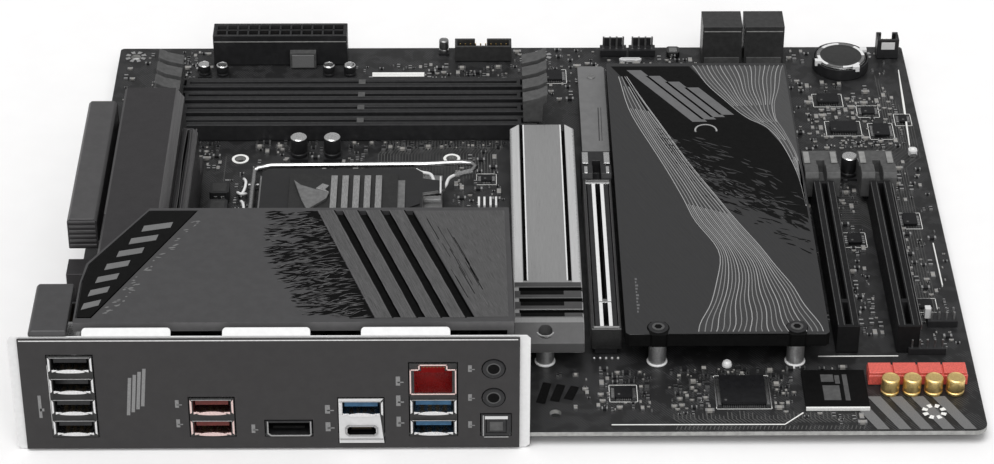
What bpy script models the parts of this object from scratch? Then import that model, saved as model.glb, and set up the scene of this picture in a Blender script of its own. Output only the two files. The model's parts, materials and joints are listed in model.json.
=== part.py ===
"""ATX desktop motherboard, modelled as an assembly of separate sub-parts.

Board coordinates, in millimetres: X runs from the board's top edge to its bottom edge, Y from its
rear (port) edge to its front edge, Z up from the component side. world() turns them into metres with
the origin at the centre of the board's underside.
"""

import math

import bmesh
import bpy
from mathutils import Vector

MM = 0.001
GAP = 0.3

# Circuit board: the ATX outline and its nine mounting holes.
BOARD_X = 304.8
BOARD_Y = 243.84
BOARD_THICK = 1.6
HOLE_R = 1.98
HOLE_TILE = 4.5
PAD_R = 3.2
PAD_HEIGHT = 0.1
CORNER_R = 1.5
PORT_CORNER_R = 4.0
CORNER_STEPS = 5
HOLE_SIDES = 12
HOLE_COLUMNS = (6.35, 163.83, 288.29)
HOLE_REAR_ROW = (33.02, 10.16, 10.16)
HOLE_ROWS = (165.10, 237.49)

# Processor socket and its loading frame.
SOCKET_X = 90.3
SOCKET_Y = 125.0
COOLER_PITCH = 78.0
SOCKET_SIZE = (44.0, 37.0)
FRAME_X = (59.6, 126.0)
FRAME_Y = (100.0, 149.0)
LEVER_AXIS = (57.4, 3.4)
LEVER_Y = 151.6
LEVER_R = 1.0

# Memory slots and their latches.
DIMM_COUNT = 4
DIMM_PITCH = 9.1
DIMM_FIRST_Y = 179.7
DIMM_WIDTH = 6.6
DIMM_TOP = 7.0
DIMM_BODY_X = (29.0, 154.8)
DIMM_PIVOT_X = (24.4, 159.4)
DIMM_PIVOT_Z = 3.6
LATCH_TOP = 20.4

# Expansion slots: 20.32 mm grid, 89 mm long connectors.
SLOT_PITCH = 20.32
SLOT_FIRST_X = 181.6
SLOT_STEPS = (0, 4, 5)
SLOT_Y = (42.6, 131.6)
SLOT_TOP = 11.2
SLOT_HALF = 3.75
SLOT_KEY_Y = 57.7
SLOT_PIVOT = (146.0, 5.0)

# Rear port plate and cover.
PLATE_X = (-8.1, 151.8)
PLATE_Z = (-4.6, 39.2)
PLATE_Y = (-1.9, -1.1)
PORT_FACE_Y = -2.3
RIM_X = (-11.4, 155.2)
COVER_TOP = 42.0
COVER_FRONT_Y = 3.5
COVER_BACK_Y = 69.0
COVER_RIGHT_X = 150.0

# Each rear connector's width and height ranges at the port plate, and the round audio jacks.
PORTS = {
    "usb2_stack": ((0.9, 15.3), (0.4, 33.0)),
    "usb_red_stack": ((45.3, 59.7), (0.4, 16.0)),
    "video_port": ((69.6, 84.6), (0.4, 6.6)),
    "usbc_stack": ((93.4, 107.9), (0.4, 15.6)),
    "lan_usb_stack": ((116.4, 131.6), (0.4, 29.6)),
    "audio_port_block": ((139.4, 149.0), (0.4, 9.0)),
}
USBC_FOOT_Z = -2.4
JACK_X = 143.4
JACK_HEIGHTS = (27.2, 15.7)
JACK_R = 3.6
PORT_ROOM = 0.35

# Cover's grooves: left edges at the front, width, sideways lean, length and depth.
GROOVE_LEFT = (111.3, 119.1, 126.9, 134.7)
GROOVE_WIDTH = 2.6
GROOVE_LEAN = -20.5
GROOVE_Y = (6.0, 67.0)
GROOVE_Z = (40.4, 43.0)

# Heatsinks and covers.
M2_SINK_X = (150.6, 174.0)
M2_SINK_Y = (34.0, 165.5)
M2_SINK_TOP = 14.0
SHIELD_X = (187.6, 255.6)
SHIELD_Y = (34.6, 208.8)
SHIELD_Z = (9.0, 14.0)
VRM_TOP = 38.0

# Front-edge connectors and the audio section.
SATA_ROWS = (2.6, 10.4)
FILM_COUNT = 4
FILM_PITCH = 8.3
FILM_X = 268.0
FILM_Y = (24.6, 31.0)

# Base colour, roughness and metallic value of each finish.
FINISHES = {
    "board": ((0.035, 0.036, 0.038), 0.55, 0.0),
    "black_plastic": ((0.022, 0.022, 0.024), 0.5, 0.0),
    "grey_plastic": ((0.20, 0.20, 0.20), 0.5, 0.0),
    "cover": ((0.075, 0.075, 0.076), 0.45, 0.6),
    "trim": ((0.012, 0.012, 0.012), 0.25, 0.0),
    "heatsink": ((0.085, 0.082, 0.084), 0.4, 0.8),
    "silver_sink": ((0.42, 0.42, 0.42), 0.35, 0.9),
    "steel": ((0.62, 0.62, 0.62), 0.25, 1.0),
    "plate": ((0.055, 0.055, 0.056), 0.55, 0.5),
    "cap_plastic": ((0.05, 0.05, 0.05), 0.45, 0.0),
    "silicon": ((0.05, 0.05, 0.055), 0.35, 0.0),
    "red_film": ((0.55, 0.03, 0.02), 0.4, 0.0),
}


def world(x, y, z):
    """Board millimetres to world metres."""
    return Vector(((x - BOARD_X / 2) * MM, (y - BOARD_Y / 2) * MM, (z + BOARD_THICK) * MM))


def clear_scene():
    for obj in list(bpy.data.objects):
        bpy.data.objects.remove(obj, do_unlink=True)


def finish_material(name, finish):
    colour, roughness, metallic = FINISHES[finish]
    material = bpy.data.materials.new(name)
    material.use_nodes = True
    shader = material.node_tree.nodes["Principled BSDF"]
    shader.inputs["Base Color"].default_value = (*colour, 1.0)
    shader.inputs["Roughness"].default_value = roughness
    shader.inputs["Metallic"].default_value = metallic
    return material


# A shell is a closed surface: a list of points in board millimetres and a list of faces.

def prism(axis, outline, low, high):
    """A flat outline pushed along an axis. The outline's two coordinates are the other two axes."""
    order = {"x": (2, 0, 1), "y": (0, 2, 1), "z": (0, 1, 2)}[axis]
    points = []
    for level in (low, high):
        for first, second in outline:
            values = (first, second, level)
            points.append(tuple(values[i] for i in order))
    count = len(outline)
    faces = [tuple(range(count)), tuple(range(count, 2 * count))]
    for i in range(count):
        j = (i + 1) % count
        faces.append((i, j, count + j, count + i))
    return points, faces


def block(x, y, z):
    return prism("z", [(x[0], y[0]), (x[1], y[0]), (x[1], y[1]), (x[0], y[1])], z[0], z[1])


def circle(centre, radius, sides, start=0.0):
    turn = 2 * math.pi / sides
    return [(centre[0] + radius * math.cos(start + i * turn),
             centre[1] + radius * math.sin(start + i * turn))
            for i in range(sides)]


def rod(axis, centre, radius, low, high, sides=16):
    return prism(axis, circle(centre, radius, sides), low, high)


def bevelled(x, y, cut):
    """A rectangle's outline with its four corners cut off."""
    return [(x[0] + cut, y[0]), (x[1] - cut, y[0]), (x[1], y[0] + cut), (x[1], y[1] - cut),
            (x[1] - cut, y[1]), (x[0] + cut, y[1]), (x[0], y[1] - cut), (x[0], y[0] + cut)]


def mesh_from(name, shells, pivot):
    """One mesh of all the shells, measured from the pivot, with its faces pointing out."""
    work = bmesh.new()
    origin = world(*pivot)
    for points, faces in shells:
        corners = [work.verts.new(world(*point) - origin) for point in points]
        for face in faces:
            work.faces.new([corners[i] for i in face])
    bmesh.ops.recalc_face_normals(work, faces=work.faces[:])
    mesh = bpy.data.meshes.new(name)
    work.to_mesh(mesh)
    work.free()
    return mesh


def new_object(name, shells, pivot):
    obj = bpy.data.objects.new(name, mesh_from(name, shells, pivot))
    obj.location = world(*pivot)
    bpy.context.scene.collection.objects.link(obj)
    return obj


def combine(target, shells, operation, pivot):
    """A Boolean step on the target, with a hidden tool of shells that don't touch each other."""
    tool = new_object(f"{target.name}_tool", shells, pivot)
    tool.hide_render = True
    tool.display_type = "WIRE"
    step = target.modifiers.new(operation.lower(), "BOOLEAN")
    step.operation = operation
    step.solver = "EXACT"
    step.object = tool


def solid(name, finish, base, joins=(), cuts=(), late_joins=(), pivot=(0.0, 0.0, 0.0)):
    """A named sub-part: the base shell, with shells joined on, cut away, then joined on again."""
    obj = new_object(name, [base], pivot)
    for group in joins:
        combine(obj, group, "UNION", pivot)
    for group in cuts:
        combine(obj, group, "DIFFERENCE", pivot)
    for group in late_joins:
        combine(obj, group, "UNION", pivot)
    obj.data.materials.append(finish_material(name, finish))
    return obj


def round_off(obj, angle=35.0):
    """Shades a round piece smooth across the small steps of its outline."""
    obj.data.shade_smooth()
    obj.data.set_sharp_from_angle(angle=math.radians(angle))


# Circuit board.

def cooler_holes():
    """Centres of the cooler's four holes."""
    half = COOLER_PITCH / 2
    return [(x, y) for x in (SOCKET_X - half, SOCKET_X + half) for y in (SOCKET_Y - half, SOCKET_Y + half)]


def board_holes():
    """Centres of the mounting holes and of the cooler's four holes."""
    holes = []
    for column, rear in zip(HOLE_COLUMNS, HOLE_REAR_ROW):
        holes.append((column, rear))
        holes.extend((column, row) for row in HOLE_ROWS)
    return holes + cooler_holes()


def board_lines(values, limit):
    """Grid lines on both sides of each hole's tile, and at both edges of the board."""
    lines = {0.0, limit}
    for value in values:
        lines.add(round(value - HOLE_TILE, 3))
        lines.add(round(value + HOLE_TILE, 3))
    return sorted(lines)


def tile_outline(x, y):
    """A tile's corners, with an arc where the tile has a corner of the board."""
    outline = []
    for side, (px, py) in enumerate(((x[0], y[0]), (x[1], y[0]), (x[1], y[1]), (x[0], y[1]))):
        if px not in (0.0, BOARD_X) or py not in (0.0, BOARD_Y):
            outline.append((px, py))
            continue
        radius = PORT_CORNER_R if (px, py) == (BOARD_X, 0.0) else CORNER_R
        centre = (abs(px - radius), abs(py - radius))
        for step in range(CORNER_STEPS + 1):
            turn = math.pi * (1.0 + side / 2) + math.pi / 2 * step / CORNER_STEPS
            outline.append((centre[0] + radius * math.cos(turn), centre[1] + radius * math.sin(turn)))
    return outline


def pcb():
    """The board, tiled so that each hole sits in its own square ring of faces."""
    holes = board_holes()
    xs = board_lines([hole[0] for hole in holes], BOARD_X)
    ys = board_lines([hole[1] for hole in holes], BOARD_Y)
    work = bmesh.new()
    for x0, x1 in zip(xs, xs[1:]):
        for y0, y1 in zip(ys, ys[1:]):
            inside = [h for h in holes if x0 < h[0] < x1 and y0 < h[1] < y1]
            if inside:
                add_ring(work, inside[0], (x0, x1), (y0, y1))
                if inside[0] in cooler_holes():
                    add_pad(work, inside[0])
            else:
                outline = tile_outline((x0, x1), (y0, y1))
                work.faces.new([work.verts.new(world(x, y, -BOARD_THICK)) for x, y in outline])
    bmesh.ops.remove_doubles(work, verts=work.verts[:], dist=0.01 * MM)
    bmesh.ops.recalc_face_normals(work, faces=work.faces[:])
    sheet = work.faces[:]
    grown = bmesh.ops.extrude_face_region(work, geom=sheet)
    moved = [item for item in grown["geom"] if isinstance(item, bmesh.types.BMVert)]
    bmesh.ops.translate(work, verts=moved, vec=(0.0, 0.0, BOARD_THICK * MM))
    bmesh.ops.recalc_face_normals(work, faces=work.faces[:])
    raise_pads(work)
    mesh = bpy.data.meshes.new("pcb")
    work.to_mesh(mesh)
    work.free()
    obj = bpy.data.objects.new("pcb", mesh)
    bpy.context.scene.collection.objects.link(obj)
    obj.data.materials.append(finish_material("pcb", "board"))


def add_ring(work, hole, x, y):
    """Four faces between a hole, or its pad, and the edges of its tile, each with a quarter of the rim."""
    rim = circle(hole, PAD_R if hole in cooler_holes() else HOLE_R, HOLE_SIDES, math.pi / 4)
    corners = [(x[1], y[1]), (x[0], y[1]), (x[0], y[0]), (x[1], y[0])]
    quarter = HOLE_SIDES // 4
    for side in range(4):
        arc = [rim[(side * quarter + i) % HOLE_SIDES] for i in range(quarter + 1)]
        outline = [corners[side], corners[(side + 1) % 4], *reversed(arc)]
        work.faces.new([work.verts.new(world(px, py, -BOARD_THICK)) for px, py in outline])


def add_pad(work, hole):
    """The ring of faces between a cooler hole and the rim of its pad."""
    inner = circle(hole, HOLE_R, HOLE_SIDES, math.pi / 4)
    outer = circle(hole, PAD_R, HOLE_SIDES, math.pi / 4)
    for i in range(HOLE_SIDES):
        j = (i + 1) % HOLE_SIDES
        outline = (inner[i], outer[i], outer[j], inner[j])
        work.faces.new([work.verts.new(world(px, py, -BOARD_THICK)) for px, py in outline])


def raise_pads(work):
    """Lifts the ring round each cooler hole to the height of its plated pad."""
    reach = (PAD_R + 0.05) * MM
    for hole in cooler_holes():
        centre = Vector(world(*hole, 0.0))
        ring = [face for face in work.faces
                if face.normal.z > 0.5 and all((vert.co - centre).length < reach for vert in face.verts)]
        grown = bmesh.ops.extrude_face_region(work, geom=ring)
        moved = [item for item in grown["geom"] if isinstance(item, bmesh.types.BMVert)]
        bmesh.ops.translate(work, verts=moved, vec=(0.0, 0.0, PAD_HEIGHT * MM))
        bmesh.ops.delete(work, geom=ring, context="FACES")
    bmesh.ops.recalc_face_normals(work, faces=work.faces[:])


# Rear ports. Each stack's openings are (low x, high x, low z, high z) in its front face.

def port_stack(name, finish, x, z, depth, openings, tongues, joins=(), extra_cuts=()):
    """A connector shell with hollow ports, each with a contact tongue inside."""
    hollows = [block((a, b), (PORT_FACE_Y - 1, PORT_FACE_Y + 10.5), (c, d)) for a, b, c, d in openings]
    bars = [block((a, b), (PORT_FACE_Y + 1.2, PORT_FACE_Y + 11.5), (c, d)) for a, b, c, d in tongues]
    return solid(name, finish, block(x, (PORT_FACE_Y, depth), z), joins=joins, cuts=[hollows, *extra_cuts],
                 late_joins=[bars])


def usb_opening(x, centre):
    return (x[0] + 1.2, x[1] - 1.2, centre - 2.55, centre + 2.55)


def usb_tongue(x, centre):
    return (x[0] + 1.9, x[1] - 1.9, centre + 0.1, centre + 1.9)


def usb_ports(name, depth, centres, joins=(), openings=(), tongues=(), extra_cuts=()):
    """A steel connector shell with one USB port at each centre height, and any other openings."""
    x, z = PORTS[name]
    holes = [usb_opening(x, centre) for centre in centres]
    bars = [usb_tongue(x, centre) for centre in centres]
    port_stack(name, "steel", x, z, depth, [*holes, *openings], [*bars, *tongues], joins, extra_cuts)


def rear_ports():
    usb_ports("usb2_stack", 16.5, [4.2 + 8.45 * row for row in range(4)])
    usb_ports("usb_red_stack", 16.5, [4.0, 12.5])
    x, z = PORTS["video_port"]
    port_stack("video_port", "black_plastic", x, z, 10.0, [(70.4, 83.8, 1.1, 5.9)], [(72.0, 82.2, 2.9, 3.9)])
    foot = block(PORTS["usbc_stack"][0], (PORT_FACE_Y, -0.4), (USBC_FOOT_Z, 2.0))
    usb_ports("usbc_stack", 16.5, [11.6], joins=[[foot]],
              openings=[(96.0, 105.3, 0.9, 4.1)], tongues=[(97.2, 104.1, 2.1, 2.9)])
    jack = prism("y", [(117.9, 17.9), (130.1, 17.9), (130.1, 26.6), (127.8, 26.6), (127.8, 28.4),
                       (120.2, 28.4), (120.2, 26.6), (117.9, 26.6)], PORT_FACE_Y - 1, PORT_FACE_Y + 11.0)
    usb_ports("lan_usb_stack", 18.5, [3.9, 12.2], extra_cuts=[[jack]])
    audio_ports()


def audio_ports():
    """Two round jacks above a square optical port, in one block."""
    x, low_z = PORTS["audio_port_block"]
    jacks = [rod("y", (JACK_X, z), 1.8, PORT_FACE_Y - 1, 9.0, 12) for z in JACK_HEIGHTS]
    optical = block((141.0, 147.6), (PORT_FACE_Y - 1, 6.0), (1.4, 6.9))
    barrels = [rod("y", (JACK_X, z), JACK_R, PORT_FACE_Y, 2.0, 16) for z in JACK_HEIGHTS]
    solid("audio_port_block", "black_plastic", block(x, (0.4, 14.0), (0.4, 32.0)),
          joins=[barrels, [block(x, (PORT_FACE_Y, 2.0), low_z)]], cuts=[jacks, [optical]])


def port_windows():
    """The plate's cut-outs, each a small margin wider than its connector."""
    low, high = PLATE_Y[0] - 1, PLATE_Y[1] + 1
    windows = []
    for name, (x, z) in PORTS.items():
        bottom = USBC_FOOT_Z if name == "usbc_stack" else z[0]
        windows.append(block((x[0] - PORT_ROOM, x[1] + PORT_ROOM), (low, high),
                             (bottom - PORT_ROOM, z[1] + PORT_ROOM)))
    windows.extend(rod("y", (JACK_X, z), JACK_R + PORT_ROOM, low, high, 16) for z in JACK_HEIGHTS)
    return windows


def port_plate():
    solid("io_face_plate", "plate", block(PLATE_X, PLATE_Y, PLATE_Z), cuts=[port_windows()])


def port_rim():
    """The sprung steel frame round the plate, with three tabs along its top."""
    y = (-0.75, -0.35)
    inner = block((-5.0, 150.0), (y[0] - 1, y[1] + 1), (-3.4, 37.8))
    outline = bevelled(RIM_X, (-5.4, 39.6), 1.2)
    tabs = []
    for low, high in ((12.4, 40.7), (57.1, 85.1), (101.2, 129.6)):
        slope = [(-0.75, 39.0), (-0.35, 39.0), (1.4, 41.6), (0.9, 41.8), (-0.75, 39.8)]
        tabs.append(prism("x", slope, low, high))
    solid("io_rim", "steel", prism("y", outline, *y), joins=[tabs], cuts=[[inner]])


# Cover over the ports, and the voltage regulator's heatsinks.

def cover_outline(inset=0.0):
    """The cover's plan: straight front and right sides, and a slanted rear-left corner."""
    return [(9.3 + inset, COVER_FRONT_Y + inset), (COVER_RIGHT_X - inset, COVER_FRONT_Y + inset),
            (COVER_RIGHT_X - 1.0 - inset, COVER_BACK_Y - inset), (28.5 + inset, COVER_BACK_Y - inset),
            (10.4 + inset, 36.5 - inset), (9.3 + inset, 25.6)]


def slanted_strip(x, shift, y, z):
    """A strip that runs back from the front edge and leans sideways by shift."""
    outline = [(x[0], y[0]), (x[1], y[0]), (x[1] + shift, y[1]), (x[0] + shift, y[1])]
    return prism("z", outline, *z)


def io_cover():
    under = prism("z", [(2.0, 20.0), (COVER_RIGHT_X - 2.2, 20.0), (COVER_RIGHT_X - 3.0, COVER_BACK_Y - 2.0),
                        (2.0, COVER_BACK_Y - 2.0)], 10.0, 38.6)
    front = block((0.0, COVER_RIGHT_X - 2.2), (0.0, 21.0), (10.0, 38.6))
    port_side = block((140.0, COVER_RIGHT_X + 1.0), (0.0, 20.5), (10.0, 33.4))
    corner = prism("z", [(0.0, 0.0), (44.0, 0.0), (44.0, 80.0), (0.0, 80.0)], 10.0, 38.6)
    grooves = [slanted_strip((left, left + GROOVE_WIDTH), GROOVE_LEAN, GROOVE_Y, GROOVE_Z)
               for left in GROOVE_LEFT]
    band = [(9.9, 6.0), (15.0, 6.0), (44.8, 67.6), (28.4, 67.6), (11.2, 36.2), (9.9, 26.0)]
    recess = prism("z", band, 41.2, 43.0)
    solid("io_cover", "cover", prism("z", cover_outline(), 12.0, COVER_TOP),
          cuts=[[under], [front], [port_side], [corner], grooves, [recess]])


def trim_band():
    outline = [(10.3, 6.5), (14.7, 6.5), (44.2, 67.2), (28.8, 67.2), (11.6, 36.0), (10.3, 26.0)]
    solid("io_trim_band", "trim", prism("z", outline, 41.5, COVER_TOP + 0.2))


def cover_end():
    """The separate end block of the cover, with a skirt down its outer side."""
    profile = [(-4.6, 39.6), (-4.6, 41.0), (-3.6, 42.0), (7.6, 42.0), (7.6, 39.6)]
    skirt = block((-4.6, -2.6), (0.6, 25.4), (14.0, 40.6))
    solid("io_cover_end", "cover", prism("y", profile, -0.9, 25.4), joins=[[skirt]])


def vrm_rear():
    """Finned heatsink under the port cover, with a wing that reaches the board's top edge."""
    slots = [block((x, x + 2.2), (18.0, 70.0), (9.0, 37.0)) for x in range(48, 138, 8)]
    solid("vrm_heatsink_rear", "heatsink", block((44.5, 140.0), (26.0, 64.0), (4.0, 36.5)),
          joins=[[block((11.0, 46.0), (26.0, 65.6), (4.0, 23.8))],
                 [block((0.2, 12.0), (56.4, 65.6), (4.0, 23.8))]],
          cuts=[slots])


def vrm_top():
    """Extruded heatsink along the board's top edge: outer fin block, wide slab and a lower step."""
    profile = [(12.4, 4.0), (38.8, 4.0), (38.8, 27.0), (37.2, 29.0), (33.4, 29.0), (33.4, 34.0),
               (30.6, VRM_TOP), (13.2, VRM_TOP), (12.4, 37.2)]
    outer = prism("y", [(0.2, 26.0), (12.9, 26.0), (12.9, 29.0), (10.4, 29.0), (10.4, 37.0), (9.4, VRM_TOP),
                        (1.2, VRM_TOP), (0.2, 37.0)], 68.4, 144.0)
    nose_profile = [(12.4, 24.6), (30.6, 24.6), (30.6, VRM_TOP), (13.2, VRM_TOP), (12.4, 37.2)]
    nose = prism("y", nose_profile, 27.0, 70.0)
    step_end = block((33.4, 40.0), (140.0, 155.0), (8.0, 30.0))
    fins = [block((35.0, 36.0), (60.0, 139.0), (20.0, 30.0))]
    solid("vrm_heatsink_top", "heatsink", prism("y", profile, 69.4, 153.0), joins=[[outer], [nose]],
          cuts=[[step_end], fins])


def eps_connector():
    """Eight-way processor power header: an open box with a raised floor."""
    solid("eps_connector", "black_plastic", block((0.7, 10.2), (38.2, 55.6), (GAP, 13.4)),
          cuts=[[block((1.9, 9.0), (39.4, 54.4), (4.0, 14.0))]])


# Processor socket.

def socket():
    half_x, half_y = SOCKET_SIZE[0] / 2, SOCKET_SIZE[1] / 2
    x = (SOCKET_X - half_x, SOCKET_X + half_x)
    y = (SOCKET_Y - half_y, SOCKET_Y + half_y)
    well = block((x[0] + 3.5, x[1] - 3.5), (y[0] + 3.0, y[1] - 3.0), (2.4, 5.0))
    solid("socket_body", "black_plastic", block(x, y, (GAP, 4.0)), cuts=[[well]])
    window = block((x[0] - 0.5, x[1] + 0.5), (y[0] - 0.5, y[1] + 0.5), (-1.0, 4.0))
    ears = [block((119.0, 125.6), (133.2, 140.4), (2.0, 4.0))]
    solid("socket_frame", "steel", block(FRAME_X, FRAME_Y, (GAP, 2.6)), joins=[ears], cuts=[[window]])


def backplate():
    """Stiffening plate on the underside of the board, below the socket."""
    outline = bevelled((SOCKET_X - 37.0, SOCKET_X + 37.0), (SOCKET_Y - 34.0, SOCKET_Y + 34.0), 8.0)
    levels = (-BOARD_THICK - 2.7, -BOARD_THICK - GAP)
    window = block((SOCKET_X - 15.0, SOCKET_X + 15.0), (SOCKET_Y - 12.0, SOCKET_Y + 12.0), (-8.0, 0.0))
    solid("socket_backplate", "steel", prism("z", outline, *levels), cuts=[[window]])


def load_plate():
    """The hinged plate that presses on the processor, with a nose at its free end."""
    pivot = (LEVER_AXIS[0], SOCKET_Y, LEVER_AXIS[1])
    window = block((73.0, 108.0), (110.0, 140.0), (0.0, 10.0))
    nose = [prism("z", [(117.0, 131.5), (127.0, 134.0), (127.0, 139.6), (117.0, 142.0)], 4.9, 6.3)]
    solid("load_plate", "steel", prism("z", bevelled((60.6, 119.0), (102.0, 148.0), 2.5), 4.9, 6.3),
          joins=[nose], cuts=[[window]], pivot=pivot)


def socket_cap():
    """Protective cap clipped in the load plate's window until a processor is fitted."""
    pivot = (LEVER_AXIS[0], SOCKET_Y, LEVER_AXIS[1])
    rim = block((71.0, 110.0), (108.2, 141.8), (6.7, 8.1))
    plug = [block((73.6, 107.4), (110.6, 139.4), (5.2, 7.4))]
    bars = [block((86.0 + 4.0 * i, 88.4 + 4.0 * i), (112.0, 139.0), (7.5, 9.3)) for i in range(5)]
    solid("socket_cap", "cap_plastic", rim, joins=[plug, bars], pivot=pivot)


def tube_along(path, radius, sides):
    """A closed round tube through the points of a path, with mitred bends."""
    points = [Vector(point) for point in path]
    rings = []
    side = Vector((0.0, 0.0, 1.0))
    for i, point in enumerate(points):
        before = points[max(i - 1, 0)]
        after = points[min(i + 1, len(points) - 1)]
        along = (after - before).normalized()
        side = (side - along * side.dot(along)).normalized()
        up = along.cross(side)
        ring = []
        for k in range(sides):
            turn = 2 * math.pi * k / sides
            ring.append(tuple(point + side * radius * math.cos(turn) + up * radius * math.sin(turn)))
        rings.append(ring)
    verts = [corner for ring in rings for corner in ring]
    faces = [tuple(range(sides)), tuple(range(len(verts) - sides, len(verts)))]
    for row in range(len(rings) - 1):
        for k in range(sides):
            a = row * sides + k
            b = row * sides + (k + 1) % sides
            faces.append((a, b, b + sides, a + sides))
    return verts, faces


def load_lever():
    """Bent wire lever: crank on the hinge axis, long arm, and a looped handle at its free end."""
    x, z = LEVER_AXIS
    pivot = (x, SOCKET_Y, z)
    path = [(x, 151.0 - 46.0, z), (x, 149.6, z), (x, 150.8, z + 0.3), (x + 1.4, LEVER_Y, z + 0.9),
            (x + 6.0, LEVER_Y, z + 1.9), (120.0, LEVER_Y + 0.6, z + 1.9), (133.0, LEVER_Y + 1.8, z + 1.9),
            (136.6, LEVER_Y + 1.2, z + 1.9), (138.0, LEVER_Y - 1.4, z + 1.9),
            (136.6, LEVER_Y - 4.0, z + 1.9),
            (130.6, LEVER_Y - 6.4, z + 1.9)]
    obj = new_object("load_lever", [tube_along(path, LEVER_R, 8)], pivot)
    obj.data.materials.append(finish_material("load_lever", "steel"))
    round_off(obj, 50.0)


# Memory slots.

def dimm_y(index):
    return DIMM_FIRST_Y + index * DIMM_PITCH


def dimm_slot(index):
    centre = dimm_y(index)
    half = DIMM_WIDTH / 2
    ends = (DIMM_PIVOT_X[0] - 2.4, DIMM_PIVOT_X[1] + 2.4)
    groove = block((DIMM_BODY_X[0] + 1.0, 94.0), (centre - 0.8, centre + 0.8), (2.0, 8.0))
    groove_after_key = block((96.4, DIMM_BODY_X[1] - 1.0), (centre - 0.8, centre + 0.8), (2.0, 8.0))
    pockets = [block((ends[0] - 1.0, DIMM_BODY_X[0] - 0.4), (centre - 1.9, centre + 1.9), (0.9, 8.0)),
               block((DIMM_BODY_X[1] + 0.4, ends[1] + 1.0), (centre - 1.9, centre + 1.9), (0.9, 8.0))]
    solid(f"dimm_slot_{index + 1}", "black_plastic",
          block(ends, (centre - half, centre + half), (GAP, DIMM_TOP)),
          cuts=[[groove, groove_after_key], pockets])


def dimm_latch(index, side):
    """A latch that tips outwards; side is -1 at the board's top edge and 1 at the other end."""
    centre = dimm_y(index)
    pivot_x = DIMM_PIVOT_X[0] if side < 0 else DIMM_PIVOT_X[1]
    foot = block((pivot_x - 2.0, pivot_x + 2.0), (centre - 1.6, centre + 1.6), (2.4, 9.0))
    head = [(-3.6, 8.0), (3.6, 8.0), (3.8, LATCH_TOP - 3.2), (-2.0, LATCH_TOP - 1.8), (-5.4, LATCH_TOP),
            (-5.2, 17.0), (-3.8, 15.0)]
    outline = [(pivot_x - side * x, z) for x, z in head]
    name = f"dimm_latch_{'a' if side < 0 else 'b'}{index + 1}"
    solid(name, "grey_plastic", prism("y", outline, centre - 3.2, centre + 3.2), joins=[[foot]],
          pivot=(pivot_x, centre, DIMM_PIVOT_Z))


# Expansion slots.

def slot_x(step):
    return SLOT_FIRST_X + SLOT_PITCH * step


def pcie_slot(number, step):
    x = slot_x(step)
    grooves = [block((x - 0.9, x + 0.9), (SLOT_Y[0] + 1.5, SLOT_KEY_Y - 1.0), (2.6, 12.0)),
               block((x - 0.9, x + 0.9), (SLOT_KEY_Y + 1.0, SLOT_Y[1] - 1.5), (2.6, 12.0))]
    shelf = block((x - SLOT_HALF, x + SLOT_HALF), (SLOT_Y[1] - 1.0, 145.0), (GAP, 2.2))
    solid(f"pcie_slot_{number}", "black_plastic",
          block((x - SLOT_HALF, x + SLOT_HALF), SLOT_Y, (GAP, SLOT_TOP)), joins=[[shelf]], cuts=[grooves])
    pcie_latch(number, x, 5.4 if number == 1 else 6.4)


def pcie_latch(number, x, half):
    """Card latch behind the slot, which rocks about an axis across the slot."""
    y, z = SLOT_PIVOT
    profile = [(133.4, 3.0), (149.6, 3.0), (151.4, 7.4), (151.4, 11.4), (141.0, 11.4), (140.0, 12.8),
               (134.6, 12.8), (133.4, 11.0)]
    slot = block((x - 1.4, x + 1.4), (130.0, 145.0), (6.0, 14.0))
    solid(f"pcie_latch_{number}", "grey_plastic" if number > 1 else "black_plastic",
          prism("x", profile, x - half, x + half), cuts=[[slot]], pivot=(x, y, z))


def pcie_armour():
    """Steel sleeve round the first slot."""
    x = slot_x(0)
    outer = block((x - 5.1, x + 5.1), (SLOT_Y[0] - 1.3, SLOT_Y[1] + 1.3), (3.0, SLOT_TOP + 0.2))
    inner = block((x - SLOT_HALF - GAP, x + SLOT_HALF + GAP), (SLOT_Y[0] - GAP, SLOT_Y[1] + GAP),
                  (0.0, 13.0))
    solid("pcie_armour", "steel", outer, cuts=[[inner]])


# Drive heatsinks and their fasteners.

def m2_sink():
    """Bright drive heatsink: a long plate with two grooves, three cross slots and a sloped foot."""
    x0, x1 = M2_SINK_X
    y0, y1 = M2_SINK_Y
    plan = [(x0, y0), (x1, y0), (x1, y1 - 3.0), (x1 - 3.0, y1), (x0 + 3.0, y1), (x0, y1 - 3.0)]
    slope = prism("x", [(y0 - 1.0, 10.4), (44.0, 15.0), (y0 - 1.0, 16.0)], x0 - 1.0, x1 + 1.0)
    grooves = [block((x, x + 1.0), (66.0, y1 + 1.0), (11.4, 15.0)) for x in (x0 + 3.6, x1 - 4.6)]
    slots = [block((x0 + 2.0, x1 + 1.0), (y, y + 2.0), (11.0, 15.0)) for y in (47.0, 53.4, 59.8)]
    hole = [rod("z", (161.0, 38.6), 2.3, 0.0, 20.0, 16)]
    solid("m2_heatsink", "silver_sink", prism("z", plan, 7.0, M2_SINK_TOP),
          cuts=[[slope], grooves, slots, hole])


def drive_shield():
    """Wide cover over the chipset and the lower drives, with a round notch at each fastener."""
    plan = bevelled(SHIELD_X, SHIELD_Y, 1.2)
    notches = [rod("z", (x, 38.4), 3.7, 0.0, 20.0, 20) for x in (198.6, 244.9)]
    notches.append(rod("z", (222.4, 160.9), 3.7, 0.0, 20.0, 20))
    solid("drive_shield", "cover", prism("z", plan, *SHIELD_Z), cuts=[notches])


def fasteners():
    for number, x in ((2, 198.6), (3, 244.9)):
        standoff(number, x, 38.4, 8.4)
        screw(number, x, 38.4, 8.7, 14.4)
    standoff(1, 161.0, 38.6, 6.6)
    screw(4, 222.4, 160.9, 8.7, 13.6)


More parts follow.
